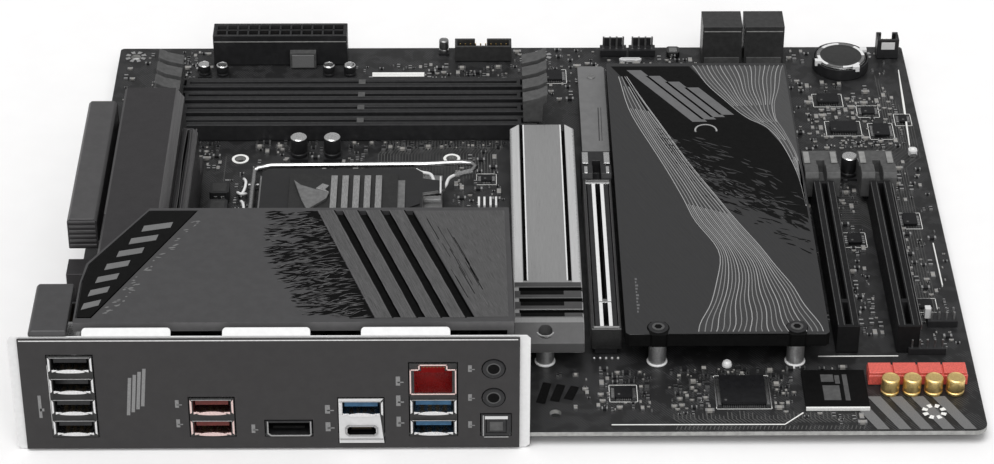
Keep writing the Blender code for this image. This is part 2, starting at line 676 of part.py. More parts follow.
def standoff(number, x, y, top):
    obj = new_object(f"standoff_{number}", [rod("z", (x, y), 3.0, GAP, top, 16)], (x, y, 0.0))
    obj.data.materials.append(finish_material(f"standoff_{number}", "steel"))
    round_off(obj)


def screw(number, x, y, low, high):
    socket_hole = rod("z", (x, y), 1.1, high - 1.2, high + 1.0, 6)
    head = rod("z", (x, y), 3.4, low, high, 20)
    obj = solid(f"shield_screw_{number}", "black_plastic", head, cuts=[[socket_hole]])
    round_off(obj)


def side_bar():
    """Flat bar between the first expansion slot and the memory."""
    solid("side_bar", "silver_sink", prism("z", bevelled((177.0, 187.2), (154.0, 216.0), 1.0), 5.0, 8.4))


def chipset():
    solid("chipset", "silicon", block((210.0, 235.0), (126.0, 151.0), (GAP, 2.6)))


# Power, storage and front-edge connectors.

def open_header(name, x, y, top, wall, floor, notch=None):
    """A shrouded header: an open-topped box, with an optional notch in its front-edge wall."""
    cuts = [[block((x[0] + wall, x[1] - wall), (y[0] + wall, y[1] - wall), (floor, top + 1.0))]]
    if notch:
        cuts.append([block(notch, (y[1] - wall - 0.5, y[1] + 1.0), (3.0, top + 1.0))])
    return solid(name, "black_plastic", block(x, y, (GAP, top)), cuts=cuts)


def edge_connectors():
    open_header("atx_connector", (37.2, 88.8), (230.8, 240.4), 13.4, 1.2, 4.2)
    open_header("usb3_header", (130.3, 152.2), (233.2, 239.6), 6.9, 1.0, 1.4, notch=(138.1, 142.7))
    open_header("corner_header", (294.0, 302.4), (234.6, 240.8), 8.6, 1.0, 1.4, notch=(296.0, 300.2))
    for number, x in enumerate(((225.9, 241.1), (242.1, 257.3)), 1):
        sata_block(number, x)
    for number, x in enumerate(((186.7, 196.9), (197.9, 208.1)), 1):
        fan_header(number, x)


def sata_block(number, x):
    """Two drive ports, one above the other, that face out over the front edge."""
    y = (231.2, 243.5)
    hollows = [block((x[0] + 1.2, x[1] - 1.2), (y[1] - 6.5, y[1] + 1.0), (z, z + 4.6)) for z in SATA_ROWS]
    tongues = [block((x[0] + 2.4, x[1] - 2.8), (y[1] - 7.5, y[1] - 0.8), (z + 1.9, z + 3.1))
               for z in SATA_ROWS]
    solid(f"sata_block_{number}", "black_plastic", block(x, y, (GAP, 16.6)), cuts=[hollows],
          late_joins=[tongues])


def fan_header(number, x):
    """A low header with upright pins and a back wall that keys the plug."""
    y = (236.6, 240.9)
    pins = [block((px - 0.35, px + 0.35), (238.2, 238.9), (2.0, 8.0)) for px in fan_pins(x)]
    wall = block((x[0] + 1.6, x[1] - 1.6), (y[1] - 0.9, y[1]), (2.0, 6.4))
    solid(f"fan_header_{number}", "black_plastic", block(x, y, (GAP, 3.0)), joins=[pins, [wall]])


def fan_pins(x):
    """Pin positions along a header: the 2.54 mm grid, centred."""
    centre = (x[0] + x[1]) / 2
    return [centre + 2.54 * (i - 1.5) for i in range(4)]


def coin_battery():
    """Round battery holder with a raised rim, and the coin cell in it."""
    centre = (279.3, 229.0)
    holder = solid("battery_holder", "black_plastic", rod("z", centre, 10.8, GAP, 4.6, 28),
                   cuts=[[rod("z", centre, 10.2, 1.6, 6.0, 28)]])
    cell = solid("coin_cell", "steel", rod("z", centre, 9.8, 1.9, 5.1, 28))
    round_off(holder)
    round_off(cell)


def audio_capacitors():
    """Row of film capacitors behind the audio ports, joined along their base."""
    y0, y1 = FILM_Y
    base = block((FILM_X, FILM_X + FILM_COUNT * FILM_PITCH - 0.2), FILM_Y, (GAP, 3.9))
    cases = [block((left, left + 7.6), (y0 + 0.3, y1 - 0.3), (3.0, 5.0))
             for left in (FILM_X + 0.2 + FILM_PITCH * i for i in range(FILM_COUNT))]
    solid("film_capacitors", "red_film", base, joins=[cases])


def build():
    clear_scene()
    pcb()
    rear_ports()
    port_plate()
    port_rim()
    io_cover()
    trim_band()
    cover_end()
    vrm_rear()
    vrm_top()
    eps_connector()
    socket()
    backplate()
    load_plate()
    socket_cap()
    load_lever()
    for index in range(DIMM_COUNT):
        dimm_slot(index)
        dimm_latch(index, -1)
        dimm_latch(index, 1)
    for number, step in enumerate(SLOT_STEPS, 1):
        pcie_slot(number, step)
    pcie_armour()
    m2_sink()
    drive_shield()
    fasteners()
    side_bar()
    chipset()
    edge_connectors()
    coin_battery()
    audio_capacitors()


build()
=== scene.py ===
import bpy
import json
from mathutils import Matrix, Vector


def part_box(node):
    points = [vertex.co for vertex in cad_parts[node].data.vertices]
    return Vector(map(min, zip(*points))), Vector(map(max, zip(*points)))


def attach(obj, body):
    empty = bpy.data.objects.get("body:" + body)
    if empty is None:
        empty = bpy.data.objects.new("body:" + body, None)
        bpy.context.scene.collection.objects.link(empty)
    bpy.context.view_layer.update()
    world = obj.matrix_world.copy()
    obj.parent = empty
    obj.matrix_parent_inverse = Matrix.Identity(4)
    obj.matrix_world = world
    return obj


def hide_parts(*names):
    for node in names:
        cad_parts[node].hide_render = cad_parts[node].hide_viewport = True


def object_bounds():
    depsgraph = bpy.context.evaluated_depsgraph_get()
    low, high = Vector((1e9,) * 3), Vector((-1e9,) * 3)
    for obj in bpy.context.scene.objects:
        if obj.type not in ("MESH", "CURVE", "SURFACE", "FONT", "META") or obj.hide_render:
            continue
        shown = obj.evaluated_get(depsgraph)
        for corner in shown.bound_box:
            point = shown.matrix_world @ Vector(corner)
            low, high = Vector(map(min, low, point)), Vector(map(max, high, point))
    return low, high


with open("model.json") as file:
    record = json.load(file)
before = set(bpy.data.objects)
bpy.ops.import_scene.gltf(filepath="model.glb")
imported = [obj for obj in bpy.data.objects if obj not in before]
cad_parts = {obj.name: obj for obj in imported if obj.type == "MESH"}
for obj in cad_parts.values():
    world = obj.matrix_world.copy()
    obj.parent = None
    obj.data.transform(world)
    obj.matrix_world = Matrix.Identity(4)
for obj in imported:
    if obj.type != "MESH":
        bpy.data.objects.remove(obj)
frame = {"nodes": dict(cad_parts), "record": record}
CAD_BOX = [list(corner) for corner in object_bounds()]

import json
import math
import random

import bmesh
import bpy
from mathutils import Matrix, Vector

# Board millimetres: X from the board's top edge, Y from its rear port edge, Z up from its component side.
MM = 0.001
BOARD_LOW, BOARD_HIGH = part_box("pcb")
SIZE_X = (BOARD_HIGH.x - BOARD_LOW.x) / MM
SIZE_Y = (BOARD_HIGH.y - BOARD_LOW.y) / MM


def at(x, y, z=0.0):
    """Board millimetres to world metres."""
    return Vector((BOARD_LOW.x + x * MM, BOARD_LOW.y + y * MM, BOARD_HIGH.z + z * MM))


def span(node):
    """A CAD node's lowest and highest corners in board millimetres."""
    low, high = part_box(node)
    origin = Vector((BOARD_LOW.x, BOARD_LOW.y, BOARD_HIGH.z))
    return (low - origin) / MM, (high - origin) / MM


def middle(node):
    """The centre of a CAD node in the plan, in board millimetres."""
    low, high = span(node)
    return (low.x + high.x) / 2, (low.y + high.y) / 2


def circle(x, y, radius, sides, turns=(0.0, 1.0)):
    """Points (x, y) round a centre. turns picks a part of the full round."""
    start, end = (2 * math.pi * turn for turn in turns)
    angles = [start + (end - start) * k / sides for k in range(sides)]
    return [(x + radius * math.cos(angle), y + radius * math.sin(angle)) for angle in angles]


# The ATX mounting holes, and the four holes of the cooler.
MOUNT_ROWS = (165.1, 237.49)
REAR_HOLES = ((6.35, 33.02), (163.83, 10.16), (288.29, 10.16))
MOUNT_HOLES = [(x, y) for x, rear in REAR_HOLES for y in (rear, *MOUNT_ROWS)]
_, BARE_HOLE, CORNER_HOLE = REAR_HOLES
COOLER_HOLES = [(x, y) for x in (51.3, 129.3) for y in (86.0, 164.0)]

# Materials. Textures use object coordinates, which are the board's own metres.

class Look:
    """A node material being built round one Principled shader. A colour that is one number is a grey."""

    def __init__(self, name, colour, roughness, metallic=0.0, coat=0.0, specular=0.5):
        self.material = bpy.data.materials.new(name)
        self.material.use_nodes = True
        self.nodes = self.material.node_tree.nodes
        self.links = self.material.node_tree.links
        self.shader = self.nodes["Principled BSDF"]
        self.colour = colour if isinstance(colour, tuple) else (colour,) * 3
        self.roughness = roughness
        settings = {"Base Color": (*self.colour, 1.0), "Roughness": roughness, "Metallic": metallic,
                    "Coat Weight": coat, "Specular IOR Level": specular}
        for socket, value in settings.items():
            self.shader.inputs[socket].default_value = value

    def texture(self, kind, size_mm, stretch=1.0, turn=0.0, **settings):
        """A texture whose features are about size_mm across. stretch above 1 lengthens them along Y."""
        place = self.nodes.new("ShaderNodeTexCoord")
        mapping = self.nodes.new("ShaderNodeMapping")
        mapping.vector_type = "TEXTURE"
        mapping.inputs["Scale"].default_value = (size_mm * MM, size_mm * MM * stretch, size_mm * MM)
        mapping.inputs["Rotation"].default_value = (0.0, 0.0, math.radians(turn))
        self.links.new(place.outputs["Object"], mapping.inputs["Vector"])
        pattern = self.nodes.new(f"ShaderNodeTex{kind}")
        for key, value in settings.items():
            if key in pattern.inputs:
                pattern.inputs[key].default_value = value
            else:
                setattr(pattern, key, value)
        self.links.new(mapping.outputs["Vector"], pattern.inputs["Vector"])
        return pattern.outputs["Fac"] if "Fac" in pattern.outputs else pattern.outputs["Distance"]

    def remap(self, value, low, high, out_low, out_high):
        remap = self.nodes.new("ShaderNodeMapRange")
        limits = {"From Min": low, "From Max": high, "To Min": out_low, "To Max": out_high}
        for socket, number in limits.items():
            remap.inputs[socket].default_value = number
        self.links.new(value, remap.inputs["Value"])
        return remap.outputs["Result"]

    def tint(self, value, dark, light, low=0.35, high=0.65):
        """Base colour between dark and light times the look's own colour."""
        ramp = self.nodes.new("ShaderNodeValToRGB")
        ramp.color_ramp.elements[0].position = low
        ramp.color_ramp.elements[1].position = high
        for element, factor in zip(ramp.color_ramp.elements, (dark, light)):
            element.color = (*(min(1.0, c * factor) for c in self.colour), 1.0)
        self.links.new(value, ramp.inputs["Fac"])
        self.links.new(ramp.outputs["Color"], self.shader.inputs["Base Color"])

    def rough(self, value, spread):
        low, high = max(0.02, self.roughness - spread), min(1.0, self.roughness + spread)
        self.links.new(self.remap(value, 0.3, 0.7, low, high), self.shader.inputs["Roughness"])

    def bump(self, value, depth_mm, strength=1.0):
        bump = self.nodes.new("ShaderNodeBump")
        bump.inputs["Distance"].default_value = depth_mm * MM
        bump.inputs["Strength"].default_value = strength
        self.links.new(value, bump.inputs["Height"])
        self.links.new(bump.outputs["Normal"], self.shader.inputs["Normal"])

    def product(self, first, second):
        join = self.nodes.new("ShaderNodeMath")
        join.operation = "MULTIPLY"
        self.links.new(first, join.inputs[0])
        self.links.new(second, join.inputs[1])
        return join.outputs[0]

    def clouded(self, tint, rough, bump):
        """Noise in colour (size, detail, dark, light), roughness (size, detail, spread) and height
        (size, detail, depth, strength)."""
        self.tint(self.texture("Noise", tint[0], Detail=tint[1]), *tint[2:])
        self.rough(self.texture("Noise", rough[0], Detail=rough[1]), *rough[2:])
        self.bump(self.texture("Noise", bump[0], Detail=bump[1]), *bump[2:])
        return self.material


def moulded(name, colour, roughness=0.5, grain=0.03, spread=0.1, specular=0.3, cloud=0.16):
    """Moulded plastic: fine spark-eroded grain, soft cloudiness and handling shine."""
    look = Look(name, colour, roughness, specular=specular)
    return look.clouded((9.0, 6.0, 1.0 - cloud, 1.0 + cloud), (4.0, 3.0, spread), (0.35, 4.0, grain, 0.5))


def brushed(name, colour, roughness, metallic, stretch=60.0, turn=0.0, contrast=0.16):
    """Brushed or rolled metal: streaks along one direction in colour, shine and height."""
    look = Look(name, colour, roughness, metallic)
    streaks = look.texture("Noise", 0.35, stretch, turn, Detail=5.0, Roughness=0.65)
    look.tint(streaks, 1.0 - contrast, 1.0 + contrast)
    look.rough(look.texture("Noise", 2.0, stretch, turn, Detail=3.0), 0.09)
    look.bump(streaks, 0.012, 0.35)
    return look.material


def satin(name, colour, roughness, metallic):
    """Coated sheet or casting with a fine metallic fleck."""
    look = Look(name, colour, roughness, metallic, specular=0.25)
    return look.clouded((16.0, 4.0, 0.95, 1.05), (5.0, 5.0, 0.05), (0.22, 3.0, 0.014, 0.5))


def bare_metal(name, colour, roughness):
    """Plain or plated metal, slightly cloudy."""
    look = Look(name, colour, roughness, 1.0)
    return look.clouded((3.0, 5.0, 0.88, 1.1), (1.2, 4.0, 0.08), (0.5, 3.0, 0.008, 0.4))


def printed(name, colour, roughness=0.5, specular=0.2):
    """Screen-printed ink, slightly uneven."""
    look = Look(name, colour, roughness, specular=specular)
    return look.clouded((1.4, 5.0, 0.84, 1.08), (2.0, 2.0, 0.06), (0.3, 3.0, 0.006, 0.4))


def solder_mask():
    """Matt black lacquer over copper: fine slanted tracks, and copper areas that show through."""
    look = Look("board", (0.016, 0.016, 0.0165), 0.38, specular=0.3)
    areas = look.remap(look.texture("Noise", 22.0, Detail=2.0), 0.46, 0.54, 0.15, 1.0)
    tracks = look.texture("Wave", 2.4, turn=38.0, Scale=0.9, Distortion=1.2, Detail=0.0)
    seen = look.product(areas, look.remap(tracks, 0.62, 0.86, 0.0, 1.0))
    look.tint(seen, 0.85, 3.2, 0.05, 0.9)
    look.rough(look.texture("Noise", 6.0, Detail=4.0), 0.09)
    look.bump(seen, 0.03, 0.7)
    return look.material


def film_sleeve():
    """Red case of a film capacitor, with a clear skin."""
    look = Look("film", (0.66, 0.105, 0.08), 0.32, coat=0.5)
    return look.clouded((2.5, 4.0, 0.8, 1.15), (1.5, 2.0, 0.08), (0.8, 2.0, 0.015, 0.4))


MOULDED = {  # colour, roughness, depth of grain, spread of roughness, specular, cloudiness
    "laminate_edge": ((0.32, 0.32, 0.31), 0.6),
    "nylon": ((0.017, 0.017, 0.018), 0.42),
    "nylon_light": (0.075, 0.45),
    "nylon_pale": ((0.24, 0.24, 0.235), 0.45),
    "slot_black": ((0.009, 0.009, 0.0095), 0.5, 0.03, 0.1, 0.14),
    "ledge": (0.033, 0.4),
    # Near black painted shade for the insides of openings, slots and sockets.
    "hollow": (0.004, 0.8, 0.03, 0.1, 0.08),
    # Front faces of the port shells, painted dark as shade of the openings.
    "shell_front": (0.022, 0.45),
    # Near black: dark marks and scratches, and painted shade in grooves, slots and on side faces.
    "cover_dark": (0.005, 0.8, 0.03, 0.1, 0.06),
    "band": (0.004, 0.35, 0.006, 0.05, 0.07),
    "shield_dark": (0.004, 0.5, 0.006, 0.05, 0.07),
    "rim": (0.72, 0.32, 0.004, 0.03, 0.5, 0.03),
    "cap": (0.018, 0.4),
    "cap_wedge": (0.14, 0.4),
    "chip": ((0.009, 0.009, 0.010), 0.36, 0.012, 0.1, 0.2),
    "resistor": ((0.014, 0.014, 0.015), 0.35),
    "ceramic": ((0.27, 0.262, 0.248), 0.45),
    "red_tongue": ((0.12, 0.02, 0.015), 0.4),
    "deep_red": ((0.42, 0.004, 0.004), 0.45),
    # Darker red, painted shade inside the red ports.
    "red_inside": ((0.09, 0.008, 0.006), 0.6),
    "blue_tongue": ((0.03, 0.10, 0.19), 0.4),
    # Darker blue, painted shade inside the blue ports.
    "blue_inside": ((0.012, 0.045, 0.085), 0.5),
    "white_plastic": (0.60, 0.4, 0.006, 0.05, 0.3, 0.03),
}
BRUSHED = {  # colour, roughness, metallic, length of streaks, direction, contrast
    "cover_brushed": ((0.105, 0.104, 0.105), 0.42, 0.5, 70.0, 18.0, 0.55),
    # Light brushed grey: scratches and strokes, and painted highlights on the rib edges.
    "cover_light": ((0.150, 0.148, 0.150), 0.42, 0.55, 70.0, 18.0, 0.3),
    # Painted highlight on the heatsink's bevels and edges.
    "extrusion_edge": ((0.09, 0.088, 0.09), 0.42, 0.5),
    "shield": ((0.040, 0.040, 0.041), 0.48, 0.45, 90.0, 24.0, 0.2),
    "shield_light": ((0.085, 0.085, 0.086), 0.46, 0.5, 90.0, 24.0, 0.2),
    "shield_glow": ((0.056, 0.056, 0.057), 0.47, 0.45, 90.0, 24.0, 0.3),
    "silver": (0.47, 0.36, 0.85, 80.0, 0.0, 0.1),
    "silver_pale": (0.88, 0.36, 0.85, 80.0, 0.0, 0.08),
    "silver_dark": (0.035, 0.5, 0.5, 20.0),
    # Light brushed grey, painted sheen on the socket cap's bars.
    "cap_bar": (0.34, 0.36, 0.6, 24.0, 0.0, 0.5),
}
SATIN = {  # colour, roughness, metallic
    "cover": ((0.075, 0.074, 0.076), 0.46, 0.35),
    # Lighter copy of the cover, painted light on its front faces.
    "cover_front": ((0.15, 0.148, 0.15), 0.5, 0.2),
    "extrusion": ((0.052, 0.050, 0.052), 0.44, 0.55),
    # Lighter copy of the extrusion, painted light on fin tops and fin edges.
    "extrusion_light": ((0.105, 0.103, 0.105), 0.42, 0.55),
    "shield_mark": ((0.165, 0.165, 0.168), 0.42, 0.4),
    "sink_front": ((0.078, 0.077, 0.078), 0.45, 0.4),
    "sink_foot": ((0.095, 0.094, 0.095), 0.5, 0.2),
    "bar_grey": ((0.185, 0.185, 0.186), 0.45, 0.3),
    "plate_steel": ((0.032, 0.032, 0.033), 0.36, 0.45),
    "plate": ((0.037, 0.0355, 0.036), 0.5, 0.2),
}
METAL = {  # colour, roughness
    # Bright metal, painted highlights on edges and rings.
    "silver_edge": (0.88, 0.3),
    "steel": (0.74, 0.24),
    "steel_dull": (0.36, 0.38),
    "steel_dark": (0.10, 0.34),
    "standoff": (0.72, 0.42),
    "wire": (0.43, 0.3),
    "solder": (0.62, 0.32),
    "gold": ((0.86, 0.62, 0.25), 0.3),
    "gold_can": ((0.98, 0.70, 0.30), 0.42),
    "gold_dim": ((0.30, 0.22, 0.10), 0.5),
    "rim_pink": ((0.78, 0.60, 0.57), 0.3),
}
PRINTED = {  # colour, roughness, specular
    "fine_line": (0.34, 0.4),
    "soft_line": (0.23, 0.4),
    # Near black, painted shade at the groove edges and left of the cover's rib step.
    "brush_dark": (0.004, 0.7, 0.06),
    "plate_mark": (0.22,),
    "white": ((0.82, 0.82, 0.80),),
    "stripe": (0.16, 0.45),
    "track": ((0.10, 0.10, 0.098), 0.4),
}
LOOKS = {"board": solder_mask(), "film": film_sleeve()}
KINDS = ((moulded, MOULDED), (brushed, BRUSHED), (satin, SATIN), (bare_metal, METAL), (printed, PRINTED))
for maker, rows in KINDS:
    LOOKS.update({name: maker(name, *settings) for name, settings in rows.items()})


# Mesh building. A Shape gathers faces in board millimetres, each with the name of its look.

class Shape:
    def __init__(self):
        self.points = []
        self.faces = []
        self.looks = []

    def add(self, points, faces, look):
        first = len(self.points)
        self.points.extend(points)
        self.faces.extend(tuple(first + i for i in face) for face in faces)
        self.looks.extend([look] * len(faces))

    def prism(self, axis, outline, low, high, look):
        """An outline pushed along an axis. Its coordinates are the other two axes, in order."""
        order = {"x": (2, 0, 1), "y": (0, 2, 1), "z": (0, 1, 2)}[axis]
        points = [tuple((a, b, level)[i] for i in order) for level in (low, high) for a, b in outline]
        count = len(outline)
        faces = [tuple(range(count)), tuple(range(count, 2 * count))]
        faces += [(i, (i + 1) % count, count + (i + 1) % count, count + i) for i in range(count)]
        self.add(points, faces, look)

    def box(self, x, y, z, look):
        self.prism("z", [(x[0], y[0]), (x[1], y[0]), (x[1], y[1]), (x[0], y[1])], z[0], z[1], look)

    def post(self, x, y, wide, deep, z, look):
        """A box about a centre in the plan."""
        self.box((x - wide / 2, x + wide / 2), (y - deep / 2, y + deep / 2), z, look)

    def skin(self, rings, sides, look):
        """Joins rings of points, one after another, into a closed form."""
        faces = [tuple(range(sides)), tuple(range(len(rings) - sides, len(rings)))]
        for row in range(len(rings) // sides - 1):
            for k in range(sides):
                a, b = row * sides + k, row * sides + (k + 1) % sides
                faces.append((a, b, b + sides, a + sides))
        self.add(rings, faces, look)

    def lathe(self, centre, profile, look, sides=24):
        """A turned form about a vertical axis. profile holds (radius, height), from the bottom up."""
        self.skin([(*point, z) for r, z in profile for point in circle(*centre, r, sides)], sides, look)

    def washer(self, centre, inner, outer, low, high, looks, sides):
        """A flat ring of short segments. looks(k) names the look of segment k."""
        near, far = circle(*centre, inner, sides), circle(*centre, outer, sides)
        for k in range(sides):
            last = (k + 1) % sides
            self.prism("z", [near[k], far[k], far[last], near[last]], low, high, looks(k))

    def star(self, centre, low, high, look):
        """The eight pads of a plated mounting hole."""
        for k in range(8):
            turn = 2 * math.pi * (k + 0.5) / 8
            pad = [(centre[0] + r * math.cos(turn + a), centre[1] + r * math.sin(turn + a))
                   for r, a in ((2.35, -0.26), (4.1, -0.2), (4.1, 0.2), (2.35, 0.26))]
            self.prism("z", pad, low, high, look)

    def ribbon(self, path, width, low, high, look):
        """A flat strip of one width along a path of (x, y) points."""
        left, right = [], []
        for i, (x, y) in enumerate(path):
            x0, y0 = path[max(i - 1, 0)]
            x1, y1 = path[min(i + 1, len(path) - 1)]
            length = math.hypot(x1 - x0, y1 - y0) or 1.0
            nx, ny = -(y1 - y0) / length * width / 2, (x1 - x0) / length * width / 2
            left.append((x + nx, y + ny))
            right.append((x - nx, y - ny))
        count = len(path)
        points = [(x, y, z) for z in (low, high) for x, y in left + right]
        faces = [(0, count, 3 * count, 2 * count), (count - 1, 3 * count - 1, 4 * count - 1, 2 * count - 1)]
        for i in range(count - 1):
            for a, b in ((i, i + 1), (count + i, count + i + 1)):
                faces.append((a, b, 2 * count + b, 2 * count + a))
            faces.append((i, i + 1, count + i + 1, count + i))
            faces.append((2 * count + i, 2 * count + i + 1, 3 * count + i + 1, 3 * count + i))
        self.add(points, faces, look)

    def outline(self, points, width, low, high, look):
        """A closed rim of one width in the X-Z plane, between two depths."""
        cx = sum(x for x, _ in points) / len(points)
        cz = sum(z for _, z in points) / len(points)
        inner = [(x - math.copysign(width, x - cx), z - math.copysign(width, z - cz)) for x, z in points]
        for i in range(len(points)):
            j = (i + 1) % len(points)
            self.prism("y", [points[i], points[j], inner[j], inner[i]], low, high, look)

    def tube(self, path, radius, look, sides=8):
        """A round wire through 3-D points."""
        points = [Vector(point) for point in path]
        side = Vector((0.31, 0.17, 0.93)).normalized()
        rings = []
        for i, point in enumerate(points):
            along = (points[min(i + 1, len(points) - 1)] - points[max(i - 1, 0)]).normalized()
            side = (side - along * side.dot(along)).normalized()
            other = along.cross(side)
            rings += [tuple(point + side * u + other * v) for u, v in circle(0.0, 0.0, radius, sides)]
        self.skin(rings, sides, look)


def soften(obj, width, segments=2, angle=32.0):
    """Rounds the edges, and shades the piece smooth across them."""
    bevel = obj.modifiers.new("bevel", "BEVEL")
    bevel.width = width * MM
    bevel.segments = segments
    bevel.limit_method = "ANGLE"
    bevel.angle_limit = math.radians(angle)
    bevel.harden_normals = True
    obj.data.shade_smooth()
    obj.data.set_sharp_from_angle(angle=math.radians(angle))


def piece(name, shape, body="root", bevel=0.0, smooth=False):
    """Makes the object of a Shape, riding on a body, with the looks of its faces."""
    names = list(dict.fromkeys(shape.looks))
    mesh = bpy.data.meshes.new(name)
    mesh.from_pydata([at(*point) for point in shape.points], [], shape.faces)
    for look in names:
        mesh.materials.append(LOOKS[look])
    for polygon, look in zip(mesh.polygons, shape.looks):
        polygon.material_index = names.index(look)
    work = bmesh.new()
    work.from_mesh(mesh)
    bmesh.ops.recalc_face_normals(work, faces=work.faces[:])
    work.to_mesh(mesh)
    work.free()
    obj = bpy.data.objects.new(name, mesh)
    bpy.context.scene.collection.objects.link(obj)
    if bevel:
        soften(obj, bevel)
    elif smooth:
        mesh.shade_smooth()
        mesh.set_sharp_from_angle(angle=math.radians(38.0))
    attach(obj, body)
    return obj


BODY_OF = {node: body for body, nodes in frame["record"]["behaviour"]["bodies"].items() for node in nodes}


def dress(node, looks, paint=None, bevel=0.2, segments=2, front=None, roof=None, rounded=None):
    """A finished piece that stands for a CAD node: its own shape, with worked edges and finishes.

    paint(centre, normal) gives the look's place in looks for a face, in board millimetres. A paint that
    gives True picks the second look.
    front sets the foremost faces back to that Y, and roof the topmost down to that Z, so that trim can
    stand on them.
    rounded(start, end) picks the edges that get a larger radius of 1.2 mm.
    """
    mesh = frame["nodes"][node].data.copy()
    mesh.materials.clear()
    for look in looks:
        mesh.materials.append(LOOKS[look])
    work = bmesh.new()
    work.from_mesh(mesh)
    bmesh.ops.remove_doubles(work, verts=work.verts[:], dist=0.002 * MM)
    bmesh.ops.dissolve_limit(work, angle_limit=math.radians(0.5), verts=work.verts[:], edges=work.edges[:])
    origin = Vector((BOARD_LOW.x, BOARD_LOW.y, BOARD_HIGH.z))
    for vert in work.verts:
        if front is not None and vert.co.y < origin.y + front * MM:
            vert.co.y = origin.y + front * MM
        if roof is not None and vert.co.z > origin.z + roof * MM:
            vert.co.z = origin.z + roof * MM
    if rounded:
        picked = [edge for edge in work.edges if rounded(*((v.co - origin) / MM for v in edge.verts))]
        bmesh.ops.bevel(work, geom=picked, offset=1.2 * MM, segments=5, affect="EDGES", profile=0.5)
    for face in work.faces:
        centre = (face.calc_center_median() - origin) / MM
        face.material_index = int(paint(centre, face.normal)) if paint else 0
    work.to_mesh(mesh)
    work.free()
    obj = bpy.data.objects.new(f"{node}_finished", mesh)
    bpy.context.scene.collection.objects.link(obj)
    if bevel:
        soften(obj, bevel, segments)
    else:
        mesh.shade_smooth()
        mesh.set_sharp_from_angle(angle=math.radians(32.0))
    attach(obj, BODY_OF[node])
    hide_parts(node)
    return obj


def inside(point, polygon):
    """Whether a point (x, y) is inside a polygon."""
    x, y = point
    found = False
    for (x0, y0), (x1, y1) in zip(polygon, polygon[1:] + polygon[:1]):
        if (y0 > y) != (y1 > y) and x < (x1 - x0) * (y - y0) / (y1 - y0) + x0:
            found = not found
    return found


def smooth_path(points, steps=6):
    """A curve through the points (Catmull-Rom)."""
    path = []
    last = len(points) - 1
    for i in range(last):
        p0, p1, p2, p3 = (points[min(max(j, 0), last)] for j in (i - 1, i, i + 1, i + 2))
        for step in range(steps):
            t = step / steps
            path.append(tuple(0.5 * (2 * b + (c - a) * t + (2 * a - 5 * b + 4 * c - d) * t * t
                                     + (3 * b - a - 3 * c + d) * t ** 3)
                              for a, b, c, d in zip(p0, p1, p2, p3)))
    path.append(tuple(points[-1]))
    return path


def strokes(shape, polygon, count, length, width, lean, level, look, seed):
    """Lens-shaped brush strokes inside a polygon, all leaning about the same way."""
    rng = random.Random(seed)
    xs, ys = [p[0] for p in polygon], [p[1] for p in polygon]
    for _ in range(count):
        x, y = rng.uniform(min(xs), max(xs)), rng.uniform(min(ys), max(ys))
        long, wide = rng.uniform(*length) / 2, rng.uniform(*width) / 2
        turn = math.radians(lean + rng.gauss(0, 14))
        ends = [(x + math.cos(turn) * s * long, y + math.sin(turn) * s * long) for s in (-1, 1)]
        if not all(inside(end, polygon) for end in ends):
            continue
        outline = []
        for along, across in ((-1, 0), (-0.4, -1), (0.3, -0.8), (1, 0), (0.4, 1), (-0.3, 0.7)):
            dx, dy = along * long, across * wide
            outline.append((x + dx * math.cos(turn) - dy * math.sin(turn),
                            y + dx * math.sin(turn) + dy * math.cos(turn)))
        shape.prism("z", outline, level, level + rng.uniform(0.03, 0.05), look)


# Circuit board.

def board():
    dress("pcb", ["board", "laminate_edge"], lambda c, n: abs(n.z) <= 0.5, bevel=0.0)


def printed_lines():
    """White and grey print on the board: outlines, underlines and slanted corner stripes."""
    shape = Shape()
    for path in ([(182, 3.7), (238.6, 3.6), (245.2, 9.8)], [(253, 40.8), (280, 40.9)]):
        shape.ribbon(path, 0.5, 0.0, 0.05, "white")
    claim(108.0, 224.0, 21.0, 5.0)
    for x0, x1, y in ((98.5, 118.5, 223.0), (98.5, 118.5, 224.6)):
        shape.ribbon([(x0, y), (x1, y)], 1.5, 0.0, 0.06, "white")
    for x0, y0, x1, y1 in ((103, 171.5, 149, 171.5), (103, 176.6, 149, 176.6), (46, 166, 46, 86),
                           (133.5, 166, 133.5, 86)):
        shape.ribbon([(x0, y0), (x1, y1)], 0.22, 0.0, 0.04, "track")
    for i in range(5):
        left = 268.6 + 7.1 * i
        end = min(left + 4.0, 303.6)
        if left + 3.4 < 303.9:
            stripe = [(left, 0.8), (end, 0.8), (end - 8.2, 18.5), (left - 8.6, 18.5)]
            shape.prism("z", stripe, 0.0, 0.045, "stripe")
    piece("printed_lines", shape)


def hole_pads():
    """Plated pads round the mounting holes, and white rings round the cooler's."""
    shape = Shape()
    for centre in COOLER_HOLES:
        shape.washer(centre, 2.1, 3.15, 0.1, 0.16, lambda k: "white", 24)
    for centre in MOUNT_HOLES:
        if centre != BARE_HOLE:
            shape.star(centre, 0.0, 0.07, "white" if centre == CORNER_HOLE else "solder")
    piece("hole_pads", shape)


